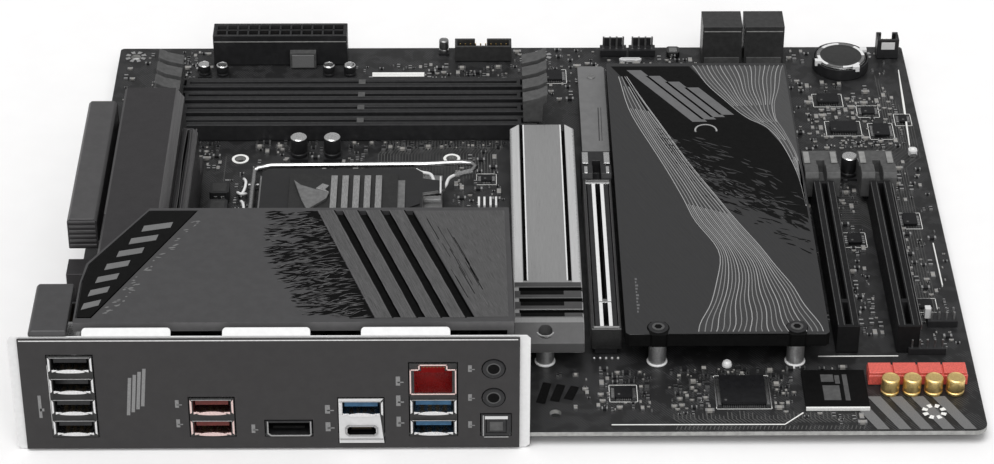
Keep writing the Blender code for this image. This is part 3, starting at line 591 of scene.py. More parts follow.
def track_bundles():
    """Bundles of fine parallel tracks that stand just proud of the lacquer."""
    shape = Shape()
    rng = random.Random(11)
    for i in range(46):
        x = 203.0 + 1.36 * i
        if x < 265:
            reach = rng.uniform(8.0, 11.0)
            shape.ribbon([(x + 1.6, 4.6), (x - 0.4, 6.6), (x - 0.4, reach)], 0.3, 0.0, 0.035, "track")
            shape.ribbon([(x, 1.0), (x + 0.6, 2.9)], 0.32, 0.0, 0.035, "track")
    for i in range(40):
        x = 104.0 + 1.12 * i
        shape.ribbon([(x, 176.0), (x, 171.0), (x - 1.8, 167.2), (x - 1.8, 152.0 + 2.0 * math.sin(i))],
                     0.22, 0.0, 0.03, "track")
    for i in range(12):
        x = 292.0 + 0.95 * i
        shape.ribbon([(x, 222.0 - 3.0 * i), (x, 175.0 - i), (x - 6.0, 168.0 - i), (x - 6.0, 60.0)],
                     0.2, 0.0, 0.03, "track")
    for i in range(15):
        y = 34.0 + 1.5 * i
        path = [(261.0, y + 90), (268.0, y + 86), (276.0, y + 86), (279.5, y + 82)]
        shape.ribbon(path, 0.24, 0.0, 0.03, "track")
    piece("track_bundles", shape)


# Small parts on the board.

USED = []


def footprint_free(x, y, wide, deep, margin=0.5):
    """Whether a small part fits there, clear of the CAD nodes and of the parts placed before."""
    low = (x - wide / 2 - margin, y - deep / 2 - margin)
    high = (x + wide / 2 + margin, y + deep / 2 + margin)
    if low[0] < 0.8 or low[1] < 0.8 or high[0] > SIZE_X - 0.8 or high[1] > SIZE_Y - 0.8:
        return False
    return not any(low[0] < b[2] and high[0] > b[0] and low[1] < b[3] and high[1] > b[1] for b in USED)


def claim(x, y, wide, deep):
    USED.append((x - wide / 2, y - deep / 2, x + wide / 2, y + deep / 2))


RAISED = {"pcb", "io_cover", "io_trim_band", "io_cover_end", "io_face_plate", "io_rim", "drive_shield",
          "socket_backplate", "load_lever", "load_plate", "socket_cap", "vrm_heatsink_top"}


def claim_nodes():
    """Marks the ground that the CAD nodes stand on, and the holes."""
    for node in frame["nodes"]:
        if node not in RAISED:
            low, high = span(node)
            USED.append((low.x, low.y, high.x, high.y))
    USED.extend([(0.0, 66.0, 40.5, 156.0), (56.0, 98.0, 128.0, 156.0), (0.0, 0.0, 151.5, 70.0)])
    for hole in MOUNT_HOLES + COOLER_HOLES:
        claim(*hole, 9.0, 9.0)


def small_part(shape, x, y, wide, deep, tall, look):
    """A two-ended surface-mounted part: body, and bright metal caps at both ends."""
    cap = 0.22 * max(wide, deep)
    for side in (-1, 1):
        if wide >= deep:
            shape.post(x + side * (wide - cap) / 2, y, cap, deep, (0.0, tall + 0.03), "solder")
        else:
            shape.post(x, y + side * (deep - cap) / 2, wide, cap, (0.0, tall + 0.03), "solder")
    inset = (2 * cap, 0.06) if wide >= deep else (0.06, 2 * cap)
    shape.post(x, y, wide - inset[0], deep - inset[1], (0.0, tall), look)


def scatter(shape, x, y, count, seed, pale=0.42):
    """Small parts of mixed sizes in a rectangle, on a half-millimetre grid. pale: share of light ones."""
    rng = random.Random(seed)
    for _ in range(count):
        wide, deep, tall = rng.choice(((1.0, 0.5, 0.4), (1.6, 0.8, 0.5), (2.0, 1.2, 0.7), (3.0, 1.5, 0.9)))
        if rng.random() < 0.5:
            wide, deep = deep, wide
        px = round(rng.uniform(*x) * 2) / 2
        py = round(rng.uniform(*y) * 2) / 2
        look = "ceramic" if rng.random() < pale else "resistor"
        if footprint_free(px, py, wide, deep, 0.2):
            claim(px, py, wide, deep)
            small_part(shape, px, py, wide, deep, tall, look)


AREAS = [
    ((178, 196), (11, 34), 170), ((202, 215), (9, 30), 90), ((236, 243), (10, 30), 50),
    ((200, 262), (30, 34), 60),
    ((263, 298), (170, 205), 330), ((279, 303), (45, 160), 260), ((268, 276), (50, 160), 110),
    ((34, 45), (157, 178), 70), ((103, 149), (170, 175), 110), ((52, 100), (152, 176), 130),
    ((130, 148), (84, 168), 150), ((40, 56), (72, 152), 120), ((24, 36), (217, 242), 60),
    ((90, 150), (216, 230), 150),
    ((152, 186), (205, 242), 150), ((186, 224), (210, 235), 130), ((258, 303), (206, 242), 110),
    ((154, 176), (11, 32), 50), ((4, 22), (160, 240), 60), ((246, 266), (4, 9), 16),
    ((41, 55), (72, 96), 40),
    ((92, 128), (71, 98), 90), ((256, 262), (60, 205), 60),
]


def surface_parts():
    shape = Shape()
    for number, (x, y, count) in enumerate(AREAS):
        scatter(shape, x, y, count, 100 + number, 0.75 if x[0] == 263 else 0.42)
    piece("surface_parts", shape)


def clipped(x, y, cut):
    """A rectangle from x[0] to x[1] and from y[0] to y[1], with its corners cut off."""
    return [(x[0] + cut, y[0]), (x[1] - cut, y[0]), (x[1], y[0] + cut), (x[1], y[1] - cut),
            (x[1] - cut, y[1]), (x[0] + cut, y[1]), (x[0], y[1] - cut), (x[0], y[0] + cut)]


def chip(shape, x, y, wide, deep, tall, along_x, along_y):
    """A resin package with bent leads: so many on each side along X, and along Y."""
    claim(x, y, wide + 2.4, deep + 2.4)
    for level, shrink in ((0.15, 0.25), (tall * 0.55, 0.0)):
        w, d = wide / 2 - shrink, deep / 2 - shrink
        shape.prism("z", clipped((x - w, x + w), (y - d, y + d), 0.35), level, level + tall * 0.45, "chip")
    for count, size, other, swap in ((along_x, wide, deep, 1), (along_y, deep, wide, -1)):
        for k in range(count):
            step = ((k + 0.5) / count - 0.5) * (size - 1.0)
            for side in (-1, 1):
                lead = (step, side * (other / 2 + 0.45))[::swap]
                reach = (0.56 * (size - 1.0) / count, 1.1)[::swap]
                shape.post(x + lead[0], y + lead[1], *reach, (0.02, 0.35), "solder")
    wide, deep = wide + 3.4, deep + 3.4  # from here on, of the printed outline round the package
    for side in (-1, 1):
        shape.post(x, y + side * (deep / 2 - 0.1), wide, 0.2, (0.0, 0.05), "white")
        shape.post(x + side * (wide / 2 - 0.1), y, 0.2, deep, (0.0, 0.05), "white")
    dot = (x - wide / 2 + 3.2, y - deep / 2 + 3.2)
    shape.lathe(dot, [(0.45, tall), (0.45, tall + 0.02)], "track", 12)


CHIPS = (  # centre, width, depth, height, leads on each side along X and along Y
    (226.0, 21.0, 15.0, 15.0, 1.5, 22, 22), (186.5, 20.5, 6.0, 6.0, 1.0, 8, 8),
    (272.0, 204.0, 8.0, 6.0, 1.4, 8, 0),
    (286.5, 196.0, 5.0, 5.0, 1.0, 8, 8), (276.0, 184.0, 10.0, 7.0, 1.3, 10, 0),
    (290.0, 182.0, 6.0, 8.0, 1.2, 0, 8),
    (299.0, 190.0, 3.0, 5.0, 1.0, 0, 4), (272.5, 110.0, 5.0, 6.0, 1.2, 0, 4),
    (293.5, 122.0, 5.0, 7.0, 1.2, 0, 6),
    (292.0, 70.0, 6.0, 5.0, 1.2, 6, 0), (168.0, 222.0, 7.0, 7.0, 1.1, 9, 9),
    (214.0, 222.0, 5.0, 4.0, 1.1, 4, 0),
    (142.0, 150.0, 4.0, 4.0, 0.9, 5, 5), (141.0, 104.0, 5.0, 4.0, 1.0, 4, 0),
)


def chips():
    shape = Shape()
    for row in CHIPS:
        chip(shape, *row)
    for x in (217.0, 235.0):
        shape.post(x, 21.0, 0.4, 16.0, (0.0, 0.5), "solder")
    piece("chips", shape)


def can(shape, x, y, radius, height, body_look, top_look, base=True):
    """An aluminium electrolytic can on a square base, with a groove near its foot and a rounded rim."""
    claim(x, y, radius * 2 + 0.6, radius * 2 + 0.6)
    foot = 0.9 if base else 0.0
    if base:
        shape.post(x, y, radius * 2 + 0.3, radius * 2 + 0.3, (0.0, foot), "nylon")
    groove = foot + 0.16 * height
    side = ((0.93, foot), (1.0, foot + 0.3), (1.0, groove), (0.9, groove + 0.3), (1.0, groove + 0.7),
            (1.0, height - 0.7), (0.97, height - 0.35))
    top = ((0.97, height - 0.36), (0.9, height - 0.1), (0.8, height), (0.72, height - 0.1),
           (0.4, height - 0.12))
    for profile, look in ((side, body_look), (top, top_look)):
        shape.lathe((x, y), [(radius * part, z) for part, z in profile], look)


CANS = (  # centre, radius, height, look of the side and of the top
    (73.0, 165.6, 3.1, 9.0, "nylon", "steel"), (85.3, 165.6, 3.1, 9.0, "nylon", "steel"),
    (34.1, 223.4, 2.3, 5.4, "nylon", "steel"), (41.1, 222.8, 2.3, 5.4, "nylon", "steel"),
    (81.9, 222.6, 2.3, 5.4, "nylon", "steel"), (89.9, 222.6, 2.3, 5.4, "nylon", "steel"),
    (274.5, 151.5, 3.0, 9.0, "nylon", "steel"), (126.0, 240.0, 1.9, 6.0, "steel_dull", "steel_dull"),
)


def electrolytics():
    shape = Shape()
    for row in CANS:
        can(shape, *row)
    piece("electrolytic_capacitors", shape, smooth=True)
    gold = Shape()
    low = span("film_capacitors")[0]
    for i in range(4):
        can(gold, low.x + 6.8 + 7.2 * i, low.y - 3.7, 3.05, 6.2, "gold_can", "gold_can", base=False)
    piece("gold_capacitors", gold, smooth=True)


def choke(shape, x, y, z, look="nylon_light", top="steel_dull"):
    """A moulded power choke with a paler top and a lead at each side."""
    claim((x[0] + x[1]) / 2, (y[0] + y[1]) / 2, x[1] - x[0], y[1] - y[0])
    shape.prism("z", clipped(x, y, 0.8), 0.2, z, look)
    shape.box((x[0] + 1.0, x[1] - 1.0), (y[0] + 1.0, y[1] - 1.0), (z, z + 0.08), top)
    for px in (x[0] + 1.6, x[1] - 2.8):
        shape.box((px, px + 1.2), (y[0] - 0.35, y[0] + 0.1), (0.05, z * 0.7), "solder")


def chokes():
    shape = Shape()
    for i in range(4):
        choke(shape, (42.0, 49.0), (100.0 + 11.5 * i, 107.6 + 11.5 * i), 4.6, "nylon", "ledge")
    for i in range(3):
        choke(shape, (92.0 + 12.0 * i, 100.0 + 12.0 * i), (73.0, 80.5), 4.4, "nylon", "nylon_light")
    choke(shape, (298.2, 301.4), (164.4, 167.8), 2.2, "white_plastic", "white")
    choke(shape, (194.0, 202.6), (232.2, 234.2), 1.2, "white_plastic", "white")
    choke(shape, (212.5, 217.5), (235.5, 240.5), 2.4, "steel_dark", "steel_dull")
    shape.box((299.8, 300.2), (81.0, 107.0), (0.0, 0.8), "white")
    shunt = [(301.3, 225.0), (301.6, 225.0), (300.9, 200.0), (299.5, 171.0), (299.1, 171.0), (300.1, 200.0)]
    shape.prism("z", shunt, 0.0, 0.9, "white")
    claim(300.3, 198.0, 4.0, 56.0)
    claim(300.0, 94.0, 2.0, 28.0)
    piece("chokes", shape, bevel=0.18)


def pin_header(shape, x, y, rows, count, pitch=2.54, tall=5.6):
    """Square pins standing in a low black strip."""
    wide, deep = count * pitch, rows * pitch
    claim(x + wide / 2, y + deep / 2, wide, deep)
    shape.box((x, x + wide), (y, y + deep), (0.05, 2.5), "nylon")
    for i in range(count):
        for j in range(rows):
            shape.post(x + (i + 0.5) * pitch, y + (j + 0.5) * pitch, 0.64, 0.64, (2.4, tall), "steel_dull")


def headers():
    shape = Shape()
    pin_header(shape, 291.9, 57.2, 2, 4)
    pin_header(shape, 283.4, 41.4, 1, 5)
    shape.box((290.9, 292.9), (58.9, 61.2), (2.5, 6.4), "white_plastic")
    piece("pin_headers", shape, bevel=0.06)


UNDER = -1.6  # the underside of the board
POWER_PITCH = 4.1  # pins of the two processor and board power headers
DIMM_PITCH = 1.7  # contacts of the memory slots, thinned out to half


def atx_pins():
    low = span("atx_connector")[0]
    return [(low.x + 3.25 + POWER_PITCH * i, y) for i in range(12) for y in (233.5, 237.7)]


def eps_pins():
    low = span("eps_connector")[0]
    return [(x, low.y + 3.0 + POWER_PITCH * i) for i in range(4) for x in (3.3, 7.5)]


def solder_joint(shape, x, y, radius=0.6, tall=0.7):
    """One pointed solder joint under the board, with the cut end of its pin."""
    profile = ((0.12, tall), (0.35, tall * 0.75), (0.7, tall * 0.3), (1.0, 0.02))
    shape.lathe((x, y), [(radius * part, UNDER - depth) for part, depth in profile], "solder", 8)


def underside():
    """Solder joints of the through-hole parts, tracks, and small parts on the back of the board."""
    shape = Shape()
    for i in range(1, 5):
        y = middle(f"dimm_slot_{i}")[1]
        for k in range(71):
            for side in (-1, 1):
                solder_joint(shape, 31.5 + DIMM_PITCH * k + 0.42 * side, y + side * 1.3, 0.42, 0.5)
    for i in range(1, 4):
        x = middle(f"pcie_slot_{i}")[0]
        for k in range(41):
            for side in (-1, 1):
                solder_joint(shape, x + side * 1.6, 45.0 + 2.0 * k + 0.5 * side, 0.42, 0.5)
    for x, y in atx_pins() + eps_pins():
        solder_joint(shape, x, y, 1.0, 1.1)
    ports = {"usb2_stack": 5, "usb_red_stack": 5, "usbc_stack": 5, "lan_usb_stack": 5, "video_port": 6,
             "audio_port_block": 3}
    for node, count in ports.items():
        low, high = span(node)
        for k in range(count):
            for y in (4.0, 8.0, 12.0):
                solder_joint(shape, low.x + 1.5 + (high.x - low.x - 3.0) * k / (count - 1), y, 0.6, 0.8)
    tall_cans = [row[:2] for row in CANS if row[3] == 9.0]
    for x, y in tall_cans + [(274.8 + 7.2 * i, 21.0) for i in range(4)]:
        for side in (-1.2, 1.2):
            solder_joint(shape, x + side, y, 0.7, 0.8)
    piece("underside_joints", shape, smooth=True)
    back = Shape()
    rng = random.Random(77)
    for _ in range(420):
        x, y = rng.uniform(30.0, 296.0), rng.uniform(20.0, 234.0)
        wide, deep = rng.choice(((1.6, 0.8), (0.8, 1.6), (2.0, 1.2), (1.0, 0.5)))
        if 50 < x < 132 and 88 < y < 162 or 28 < x < 158 and 174 < y < 212 or not footprint_far(x, y):
            continue
        look = rng.choice(("ceramic", "resistor", "resistor"))
        back.post(x, y, wide, deep, (UNDER - 0.5, UNDER - 0.01), look)
        for side in (-1, 1):
            back.post(x + side * (wide / 2 + 0.12), y, 0.32, deep, (UNDER - 0.52, UNDER - 0.01), "solder")
    for _ in range(90):
        x, y = rng.uniform(20.0, 280.0), rng.uniform(20.0, 225.0)
        run, turn = rng.uniform(12.0, 46.0), rng.choice((-1, 1))
        for k in range(rng.choice((3, 5, 8))):
            px = x + 0.7 * k
            jog = px + turn * run * 0.25
            path = [(px, y), (px, y + run * 0.4), (jog, y + run * 0.65), (jog, y + run)]
            if all(2 < a < SIZE_X - 2 and 2 < b < SIZE_Y - 2 and footprint_far(a, b) for a, b in path):
                back.ribbon(path, 0.22, UNDER - 0.03, UNDER - 0.004, "track")
    for centre in MOUNT_HOLES:
        back.star(centre, UNDER - 0.06, UNDER - 0.005, "solder")
    piece("underside_parts", back)
    bolts = Shape()
    low, high = span("socket_backplate")
    for x in (low.x + 7.0, high.x - 7.0):
        for y in (low.y + 9.0, high.y - 9.0):
            head = ((1.4, 0.5), (2.5, 0.5), (2.7, 0.25), (2.7, 0.0))
            bolts.lathe((x, y), [(radius, low.z - depth) for radius, depth in head], "steel_dull", 20)
    piece("backplate_bolts", bolts)


def footprint_far(x, y):
    """Whether a point under the board is clear of the mounting holes."""
    return all(math.hypot(x - hole_x, y - hole_y) > 6.0 for hole_x, hole_y in MOUNT_HOLES + COOLER_HOLES)


def dark_label():
    """The matt square plate in front of the second slot, with a white front line and pale marks."""
    shape = Shape()
    claim(257.0, 21.5, 23.0, 22.0)
    shape.box((246.2, 267.2), (11.4, 31.6), (0.1, 1.2), "shield_dark")
    shape.box((246.2, 267.2), (10.6, 11.4), (0.1, 1.25), "white")
    for x, y, wide, deep in ((252.4, 25.0, 4.2, 4.0), (252.6, 15.0, 5.6, 8.0), (259.6, 14.8, 1.6, 14.2),
                             (257.0, 24.0, 1.6, 4.6)):
        shape.box((x, x + wide), (y, y + deep), (1.2, 1.26), "nylon_light")
    piece("audio_plate", shape, bevel=0.08)


def board_mark():
    """A plain slanted emblem on the lacquer near the port corner."""
    shape = Shape()
    claim(164.0, 22.0, 16.0, 14.0)
    for i in range(3):
        x = 157.5 + 4.6 * i
        bar = [(x, 16.0 + i), (x + 3.0, 15.0 + i), (x + 5.4, 26.0 - i), (x + 2.6, 27.0 - i)]
        shape.prism("z", bar, 0.0, 0.05, "cover_dark")
    piece("board_mark", shape)


# Rear ports. Their shells stop short of the foremost plane, and the bright trim stands on them.

SHELL_FRONT = -2.12
TRIM_FRONT = -2.3
TRIM_DEPTH = (TRIM_FRONT, SHELL_FRONT)
PLATE_FRONT = -1.9
OTHER_OPENINGS = {"usbc_stack": [(95.6, 105.7, 0.35, 4.75)], "lan_usb_stack": [(117.9, 130.1, 17.9, 28.4)]}
AUDIO_CENTRES = ((143.4, 27.2), (143.4, 15.7))


def usb_holes(x, centres):
    return [(x[0] + 1.2, x[1] - 1.2, z - 2.55, z + 2.55) for z in centres]


def usb_details(shape, x, centre, lip):
    """Contacts on the tongue, bright side rims, and the sprung crescent lips round one opening."""
    left, right = x[0] + 1.2, x[1] - 1.2
    mid, half = (left + right) / 2, (right - left) / 2
    for i in range(4):
        px = left + 2.0 + i * (right - left - 5.4) / 3
        shape.box((px, px + 1.3), (-1.0, 5.0), (centre - 0.02, centre + 0.08), "gold_dim")
    for side, px in ((-1, x[0] + 0.2), (1, x[1] - 0.2)):
        inner = px - side * 0.62
        rim = [(px, centre - 2.9), (inner, centre - 2.3), (inner, centre + 2.0), (px, centre + 2.9)]
        shape.prism("y", rim, *TRIM_DEPTH, lip)
    shape.box((x[0] + 0.7, x[1] - 0.7), TRIM_DEPTH, (centre + 2.55, centre + 2.8), "steel_dull")
    base = centre - 2.95
    upper = [(mid + half * 0.78 * math.cos(math.pi * k / 12), base + 1.0 * math.sin(math.pi * k / 12))
             for k in range(13)]
    lower = [(px, base - (pz - base) * 0.45) for px, pz in reversed(upper[1:-1])]
    shape.prism("y", upper + lower, TRIM_FRONT, -1.5, lip)
    for side in (-1, 1):
        px = mid + side * half * 0.98
        inner = px - side * 1.9
        spring = [(px, base - 0.1), (inner, base + 0.5), (inner, base + 0.75), (px, base + 0.9)]
        shape.prism("y", spring, TRIM_FRONT, -1.6, lip)


def connector_paint(node, holes, extra):
    """Shell front painted dark as shade, coloured tongue, and painted shade in the openings; and the pale
    housing of the USB-C port.
    """
    def paint(centre, normal):
        for x0, x1, z0, z1 in holes:
            if x0 - 0.05 < centre.x < x1 + 0.05 and z0 - 0.05 < centre.z < z1 + 0.05 and centre.y > -2.0:
                wall = min(centre.x - x0, x1 - centre.x, centre.z - z0, z1 - centre.z)
                return 1 if wall < 0.12 or centre.y > 7.9 else 2
        for x0, x1, z0, z1 in extra:
            if x0 - 0.05 < centre.x < x1 + 0.05 and z0 - 0.05 < centre.z < z1 + 0.05 and centre.y > -2.0:
                return 5 if node == "lan_usb_stack" else 4
        if node == "usbc_stack" and centre.z < 8.4:
            return 3
        return 6 if normal.y < -0.9 and centre.y < -1.9 else 0
    return paint


def rear_connectors():
    rows = [4.2 + 8.45 * i for i in range(4)]
    # The third name in each row is the painted shade inside the openings, tinted like the tongue.
    stacks = (("usb2_stack", rows, "hollow", "nylon", "steel"),
              ("usb_red_stack", [4.0, 12.5], "red_inside", "red_tongue", "rim_pink"),
              ("usbc_stack", [11.6], "blue_inside", "blue_tongue", "steel"),
              ("lan_usb_stack", [3.9, 12.2], "blue_inside", "blue_tongue", "steel"))
    details = Shape()
    for node, centres, hollow, tongue, lip in stacks:
        low, high = span(node)
        x = (low.x, high.x)
        extra = OTHER_OPENINGS.get(node, [])
        looks = ["steel", hollow, tongue, "white_plastic", "hollow", "deep_red", "shell_front"]
        dress(node, looks, connector_paint(node, usb_holes(x, centres), extra), bevel=0.0, front=SHELL_FRONT)
        for centre in centres:
            usb_details(details, x, centre, lip)
    jack = [(116.7, 17.3), (131.2, 17.3), (131.2, 27.0), (128.4, 27.0), (128.4, 28.9), (119.5, 28.9),
            (119.5, 27.0), (116.7, 27.0)]
    for (x0, z0), (x1, z1) in zip(jack, jack[1:] + jack[:1]):
        details.box((min(x0, x1) - 0.22, max(x0, x1) + 0.22), TRIM_DEPTH,
                    (min(z0, z1) - 0.22, max(z0, z1) + 0.22), "rim_pink")
    for i in range(8):
        details.box((119.6 + 1.1 * i, 120.1 + 1.1 * i), (0.4, 6.5), (26.0, 26.25), "gold_dim")
    details.box((97.6, 103.8), (-1.3, 5.0), (2.92, 2.98), "gold_dim")
    details.outline([(95.3, 1.3), (96.4, 0.2), (104.9, 0.2), (106.0, 1.3), (106.0, 3.7), (104.9, 4.8),
                     (96.4, 4.8), (95.3, 3.7)], 0.5, *TRIM_DEPTH, "steel_dull")
    details.box((93.7, 107.6), TRIM_DEPTH, (-1.2, -0.7), "steel_dull")
    piece("port_contacts", details, bevel=0.03)
    # The insides of the video and audio openings are painted near black as shade.
    dress("video_port", ["nylon", "hollow"], lambda c, n: c.y > -2.0 and 1.2 < c.z < 5.8, bevel=0.0,
          front=SHELL_FRONT)
    dress("audio_port_block", ["nylon", "hollow"], lambda c, n: c.y > 0.6 and n.y < -0.5, bevel=0.0,
          front=SHELL_FRONT)
    trims = Shape()
    low, high = span("video_port")
    trims.prism("y", [(low.x + 0.5, 6.4), (low.x + 0.9, 6.4), (low.x + 0.9, 1.7), (low.x + 1.9, 0.9),
                      (high.x - 1.0, 0.9), (high.x - 0.6, 1.3), (high.x - 0.6, 6.4), (high.x - 0.2, 6.4),
                      (high.x - 0.2, 1.0), (high.x - 0.8, 0.4), (low.x + 1.6, 0.4), (low.x + 0.5, 1.4)],
                      *TRIM_DEPTH, "steel_dull")
    trims.box((140.6, 148.0), (TRIM_FRONT, -2.0), (7.1, 8.2), "white_plastic")
    # Each jack ends in a near black disc of painted shade.
    for x, z in AUDIO_CENTRES:
        for radius, depth, look in ((3.2, -2.2, "nylon"), (2.3, -2.24, "nylon_light"),
                                    (1.9, -2.28, "hollow")):
            trims.prism("y", circle(x, z, radius, 28), depth, SHELL_FRONT, look)
    trims.box((141.2, 147.4), (-2.2, SHELL_FRONT), (1.6, 6.7), "nylon")
    trims.box((142.2, 146.4), (-2.24, SHELL_FRONT), (2.4, 5.9), "nylon_light")
    trims.box((139.9, 140.3), TRIM_DEPTH, (0.2, 8.6), "steel_dull")
    trims.box((140.3, 148.3), TRIM_DEPTH, (-0.4, 0.0), "steel_dull")
    piece("port_trims", trims, bevel=0.03)


PORT_SIGNS = (  # x, z, width, height
    (-3.2, 8.0, 1.0, 9.0), (40.8, 4.0, 1.2, 3.2), (40.8, 12.0, 1.2, 3.0), (65.0, 1.6, 1.2, 3.4),
    (89.0, 2.2, 1.6, 3.6), (89.0, 9.4, 1.6, 3.4), (112.0, 4.0, 1.4, 4.0), (112.0, 12.4, 1.4, 4.2),
    (112.0, 20.6, 1.4, 3.6), (135.2, 3.4, 1.2, 2.6), (135.2, 14.4, 1.2, 2.6), (135.2, 26.0, 1.2, 2.6),
)


def port_plate():
    dress("io_face_plate", ["plate"], bevel=0.12)
    dress("io_rim", ["rim"], bevel=0.12, segments=3,
          rounded=lambda a, b: min(a.z, b.z) > 41.3 and abs(a.x - b.x) < 0.01)
    shape = Shape()
    depth = (PLATE_FRONT - 0.08, PLATE_FRONT)
    for x, z, wide, tall in PORT_SIGNS:
        shape.box((x, x + wide), depth, (z, z + tall), "plate_mark")
        shape.box((x + wide * 0.4, x + wide * 1.8), depth, (z + tall * 0.3, z + tall * 0.42), "plate_mark")
    for i in range(4):
        x, z = 25.0 + 1.6 * i, 9.0 + 1.2 * i
        bar = [(x, z), (x + 1.1, z), (x + 2.4, z + 15.0), (x + 1.3, z + 15.0)]
        shape.prism("y", bar, PLATE_FRONT - 0.07, PLATE_FRONT, "plate_mark")
    shape.box((-7.6, 151.2), (PLATE_FRONT - 0.06, PLATE_FRONT), (38.5, 38.9), "steel")
    piece("plate_marks", shape)


# Port cover.

GROOVES = (111.3, 119.1, 126.9, 134.7)
GROOVE_WIDTH = 2.6
LEAN = -20.5 / 61.0
COVER_REAR, COVER_FRONT = 5.6, 67.4


def cover():
    """Satin cover with slanted ribs and a gloss band; painted highlights and shade on the ribs and grooves,
    and a patch of dark brush strokes that paints the shade left of the rib step.
    """
    # Front faces get a lighter copy of the cover as painted light; groove floors and walls are painted near
    # black as shade.
    def paint(centre, normal):
        if normal.y < -0.7 and centre.y < 6.0:
            return 2
        return 1 if centre.z < 41.7 and 6.5 < centre.y < 66.8 and centre.z > 39.5 and centre.x > 60 else 0
    dress("io_cover", ["cover", "cover_dark", "cover_front"], paint, bevel=0.35, segments=3)
    dress("io_cover_end", ["cover"], bevel=0.5, segments=3)
    dress("io_trim_band", ["band"], bevel=0.0, roof=span("io_trim_band")[1].z - 0.12)
    top = span("io_cover")[1].z
    shape = Shape()

    def strip(x0, x1, height, look, wobble, seed):
        """A slanted strip from front to back, with edges that waver a little."""
        rng = random.Random(seed)
        rows = [COVER_REAR + (COVER_FRONT - COVER_REAR) * k / 16 for k in range(17)]
        left = [(x0 + LEAN * (y - COVER_REAR) + rng.uniform(-wobble, wobble), y) for y in rows]
        right = [(x1 + LEAN * (y - COVER_REAR) + rng.uniform(-wobble, wobble), y) for y in rows]
        shape.prism("z", left + right[::-1], top, top + height, look)

    # Along each rib: the brushed top, two light strips that paint highlights on its edges, and a dark strip
    # that paints shade at the groove's edge.
    lefts = (105.6,) + tuple(x + GROOVE_WIDTH for x in GROOVES[:3])
    for number, (left, right) in enumerate(zip(lefts, GROOVES)):
        strip(left + 0.05, right - 0.35, 0.12, "cover_brushed", 0.12, 50 + number)
        strip(left + 0.05, left + 0.3, 0.17, "cover_light", 0.08, 60 + number)
        strip(right - 0.75, right - 0.45, 0.17, "cover_light", 0.1, 70 + number)
        strip(right - 0.35, right + 0.2, 0.06, "brush_dark", 0.1, 80 + number)
    end = [(137.5, 6.0), (148.2, 6.0), (147.5, 67.0), (117.2, 67.0)]
    shape.prism("z", end, top, top + 0.08, "cover_brushed")
    rng = random.Random(90)
    for _ in range(26):
        y0 = rng.uniform(8.0, 50.0)
        x0 = 137.8 + LEAN * (y0 - 6.0) + rng.uniform(0.3, 8.0)
        run = rng.uniform(5.0, 16.0)
        scratch = [(x0 + LEAN * run * part, y0 + run * part) for part in (0.0, 0.5, 1.0)]
        width, look = rng.uniform(0.12, 0.3), rng.choice(("cover_light", "cover_dark"))
        shape.ribbon(scratch, width, top + 0.08, top + 0.12, look)
    # The dark wedge and the dark strokes round it paint the shade left of the rib step; the lighter strokes
    # over it are texture.
    wedge = [(105.5 + LEAN * (y - 5.4), y) for y in (5.4, 20.0, 40.0, 67.0)]
    ragged = [(81.0, 67.0), (82.4, 60.0), (83.6, 52.0), (86.0, 44.0), (87.4, 36.0), (90.4, 28.0),
              (92.0, 20.0), (95.6, 12.0), (97.5, 5.4)]
    shape.prism("z", wedge + ragged, top, top + 0.03, "brush_dark")
    patch = [(67.0, 67.0), (86.0, 67.0), (106.0, 5.6), (81.0, 7.0), (75.0, 22.0), (67.5, 40.0)]
    strokes(shape, patch, 900, (2.0, 8.0), (0.35, 1.1), 6.0, top, "brush_dark", 21)
    heart = [(76.0, 67.0), (86.0, 67.0), (106.0, 5.6), (90.0, 5.6), (80.0, 36.0)]
    strokes(shape, heart, 700, (2.5, 8.0), (0.5, 1.4), 7.0, top + 0.01, "brush_dark", 24)
    strokes(shape, heart, 420, (1.6, 7.0), (0.18, 0.5), 9.0, top + 0.05, "cover_brushed", 22)
    strokes(shape, patch, 300, (1.2, 5.0), (0.15, 0.35), 9.0, top + 0.05, "cover_light", 25)
    piece("cover_ribs", shape)
    band_marks(top)


def band_marks(top):
    """Plain slanted bars on the gloss band, in place of lettering, and specks along its right edge."""
    shape = Shape()
    level = span("io_trim_band")[1].z
    for i, x in enumerate((14.0, 15.8, 17.8, 20.4, 24.0, 27.7, 31.6)):
        y, half = 13.0 + 7.4 * i, 2.7 + 0.34 * i
        shape.prism("z", [(x - half, y - 2.6), (x + half, y - 0.2), (x + half + 0.6, y + 3.0),
                          (x - half + 0.6, y + 0.8)], level - 0.12, level, "bar_grey")
    piece("band_marks", shape)
    specks = Shape()
    edge = [(16.6, 8.0), (21.6, 8.0), (47.5, 62.0), (43.0, 62.0)]
    strokes(specks, edge, 420, (0.8, 2.8), (0.35, 0.9), 12.0, top, "stripe", 31)
    piece("band_specks", specks)


# Heatsinks.

SINK_GROOVES = ((153.9, 155.5), (169.1, 170.7))
SINK_SLOTS_END = 62.7  # the slotted rear stretch of the drive heatsink, along Y
SINK_FOOT_END = 44.3


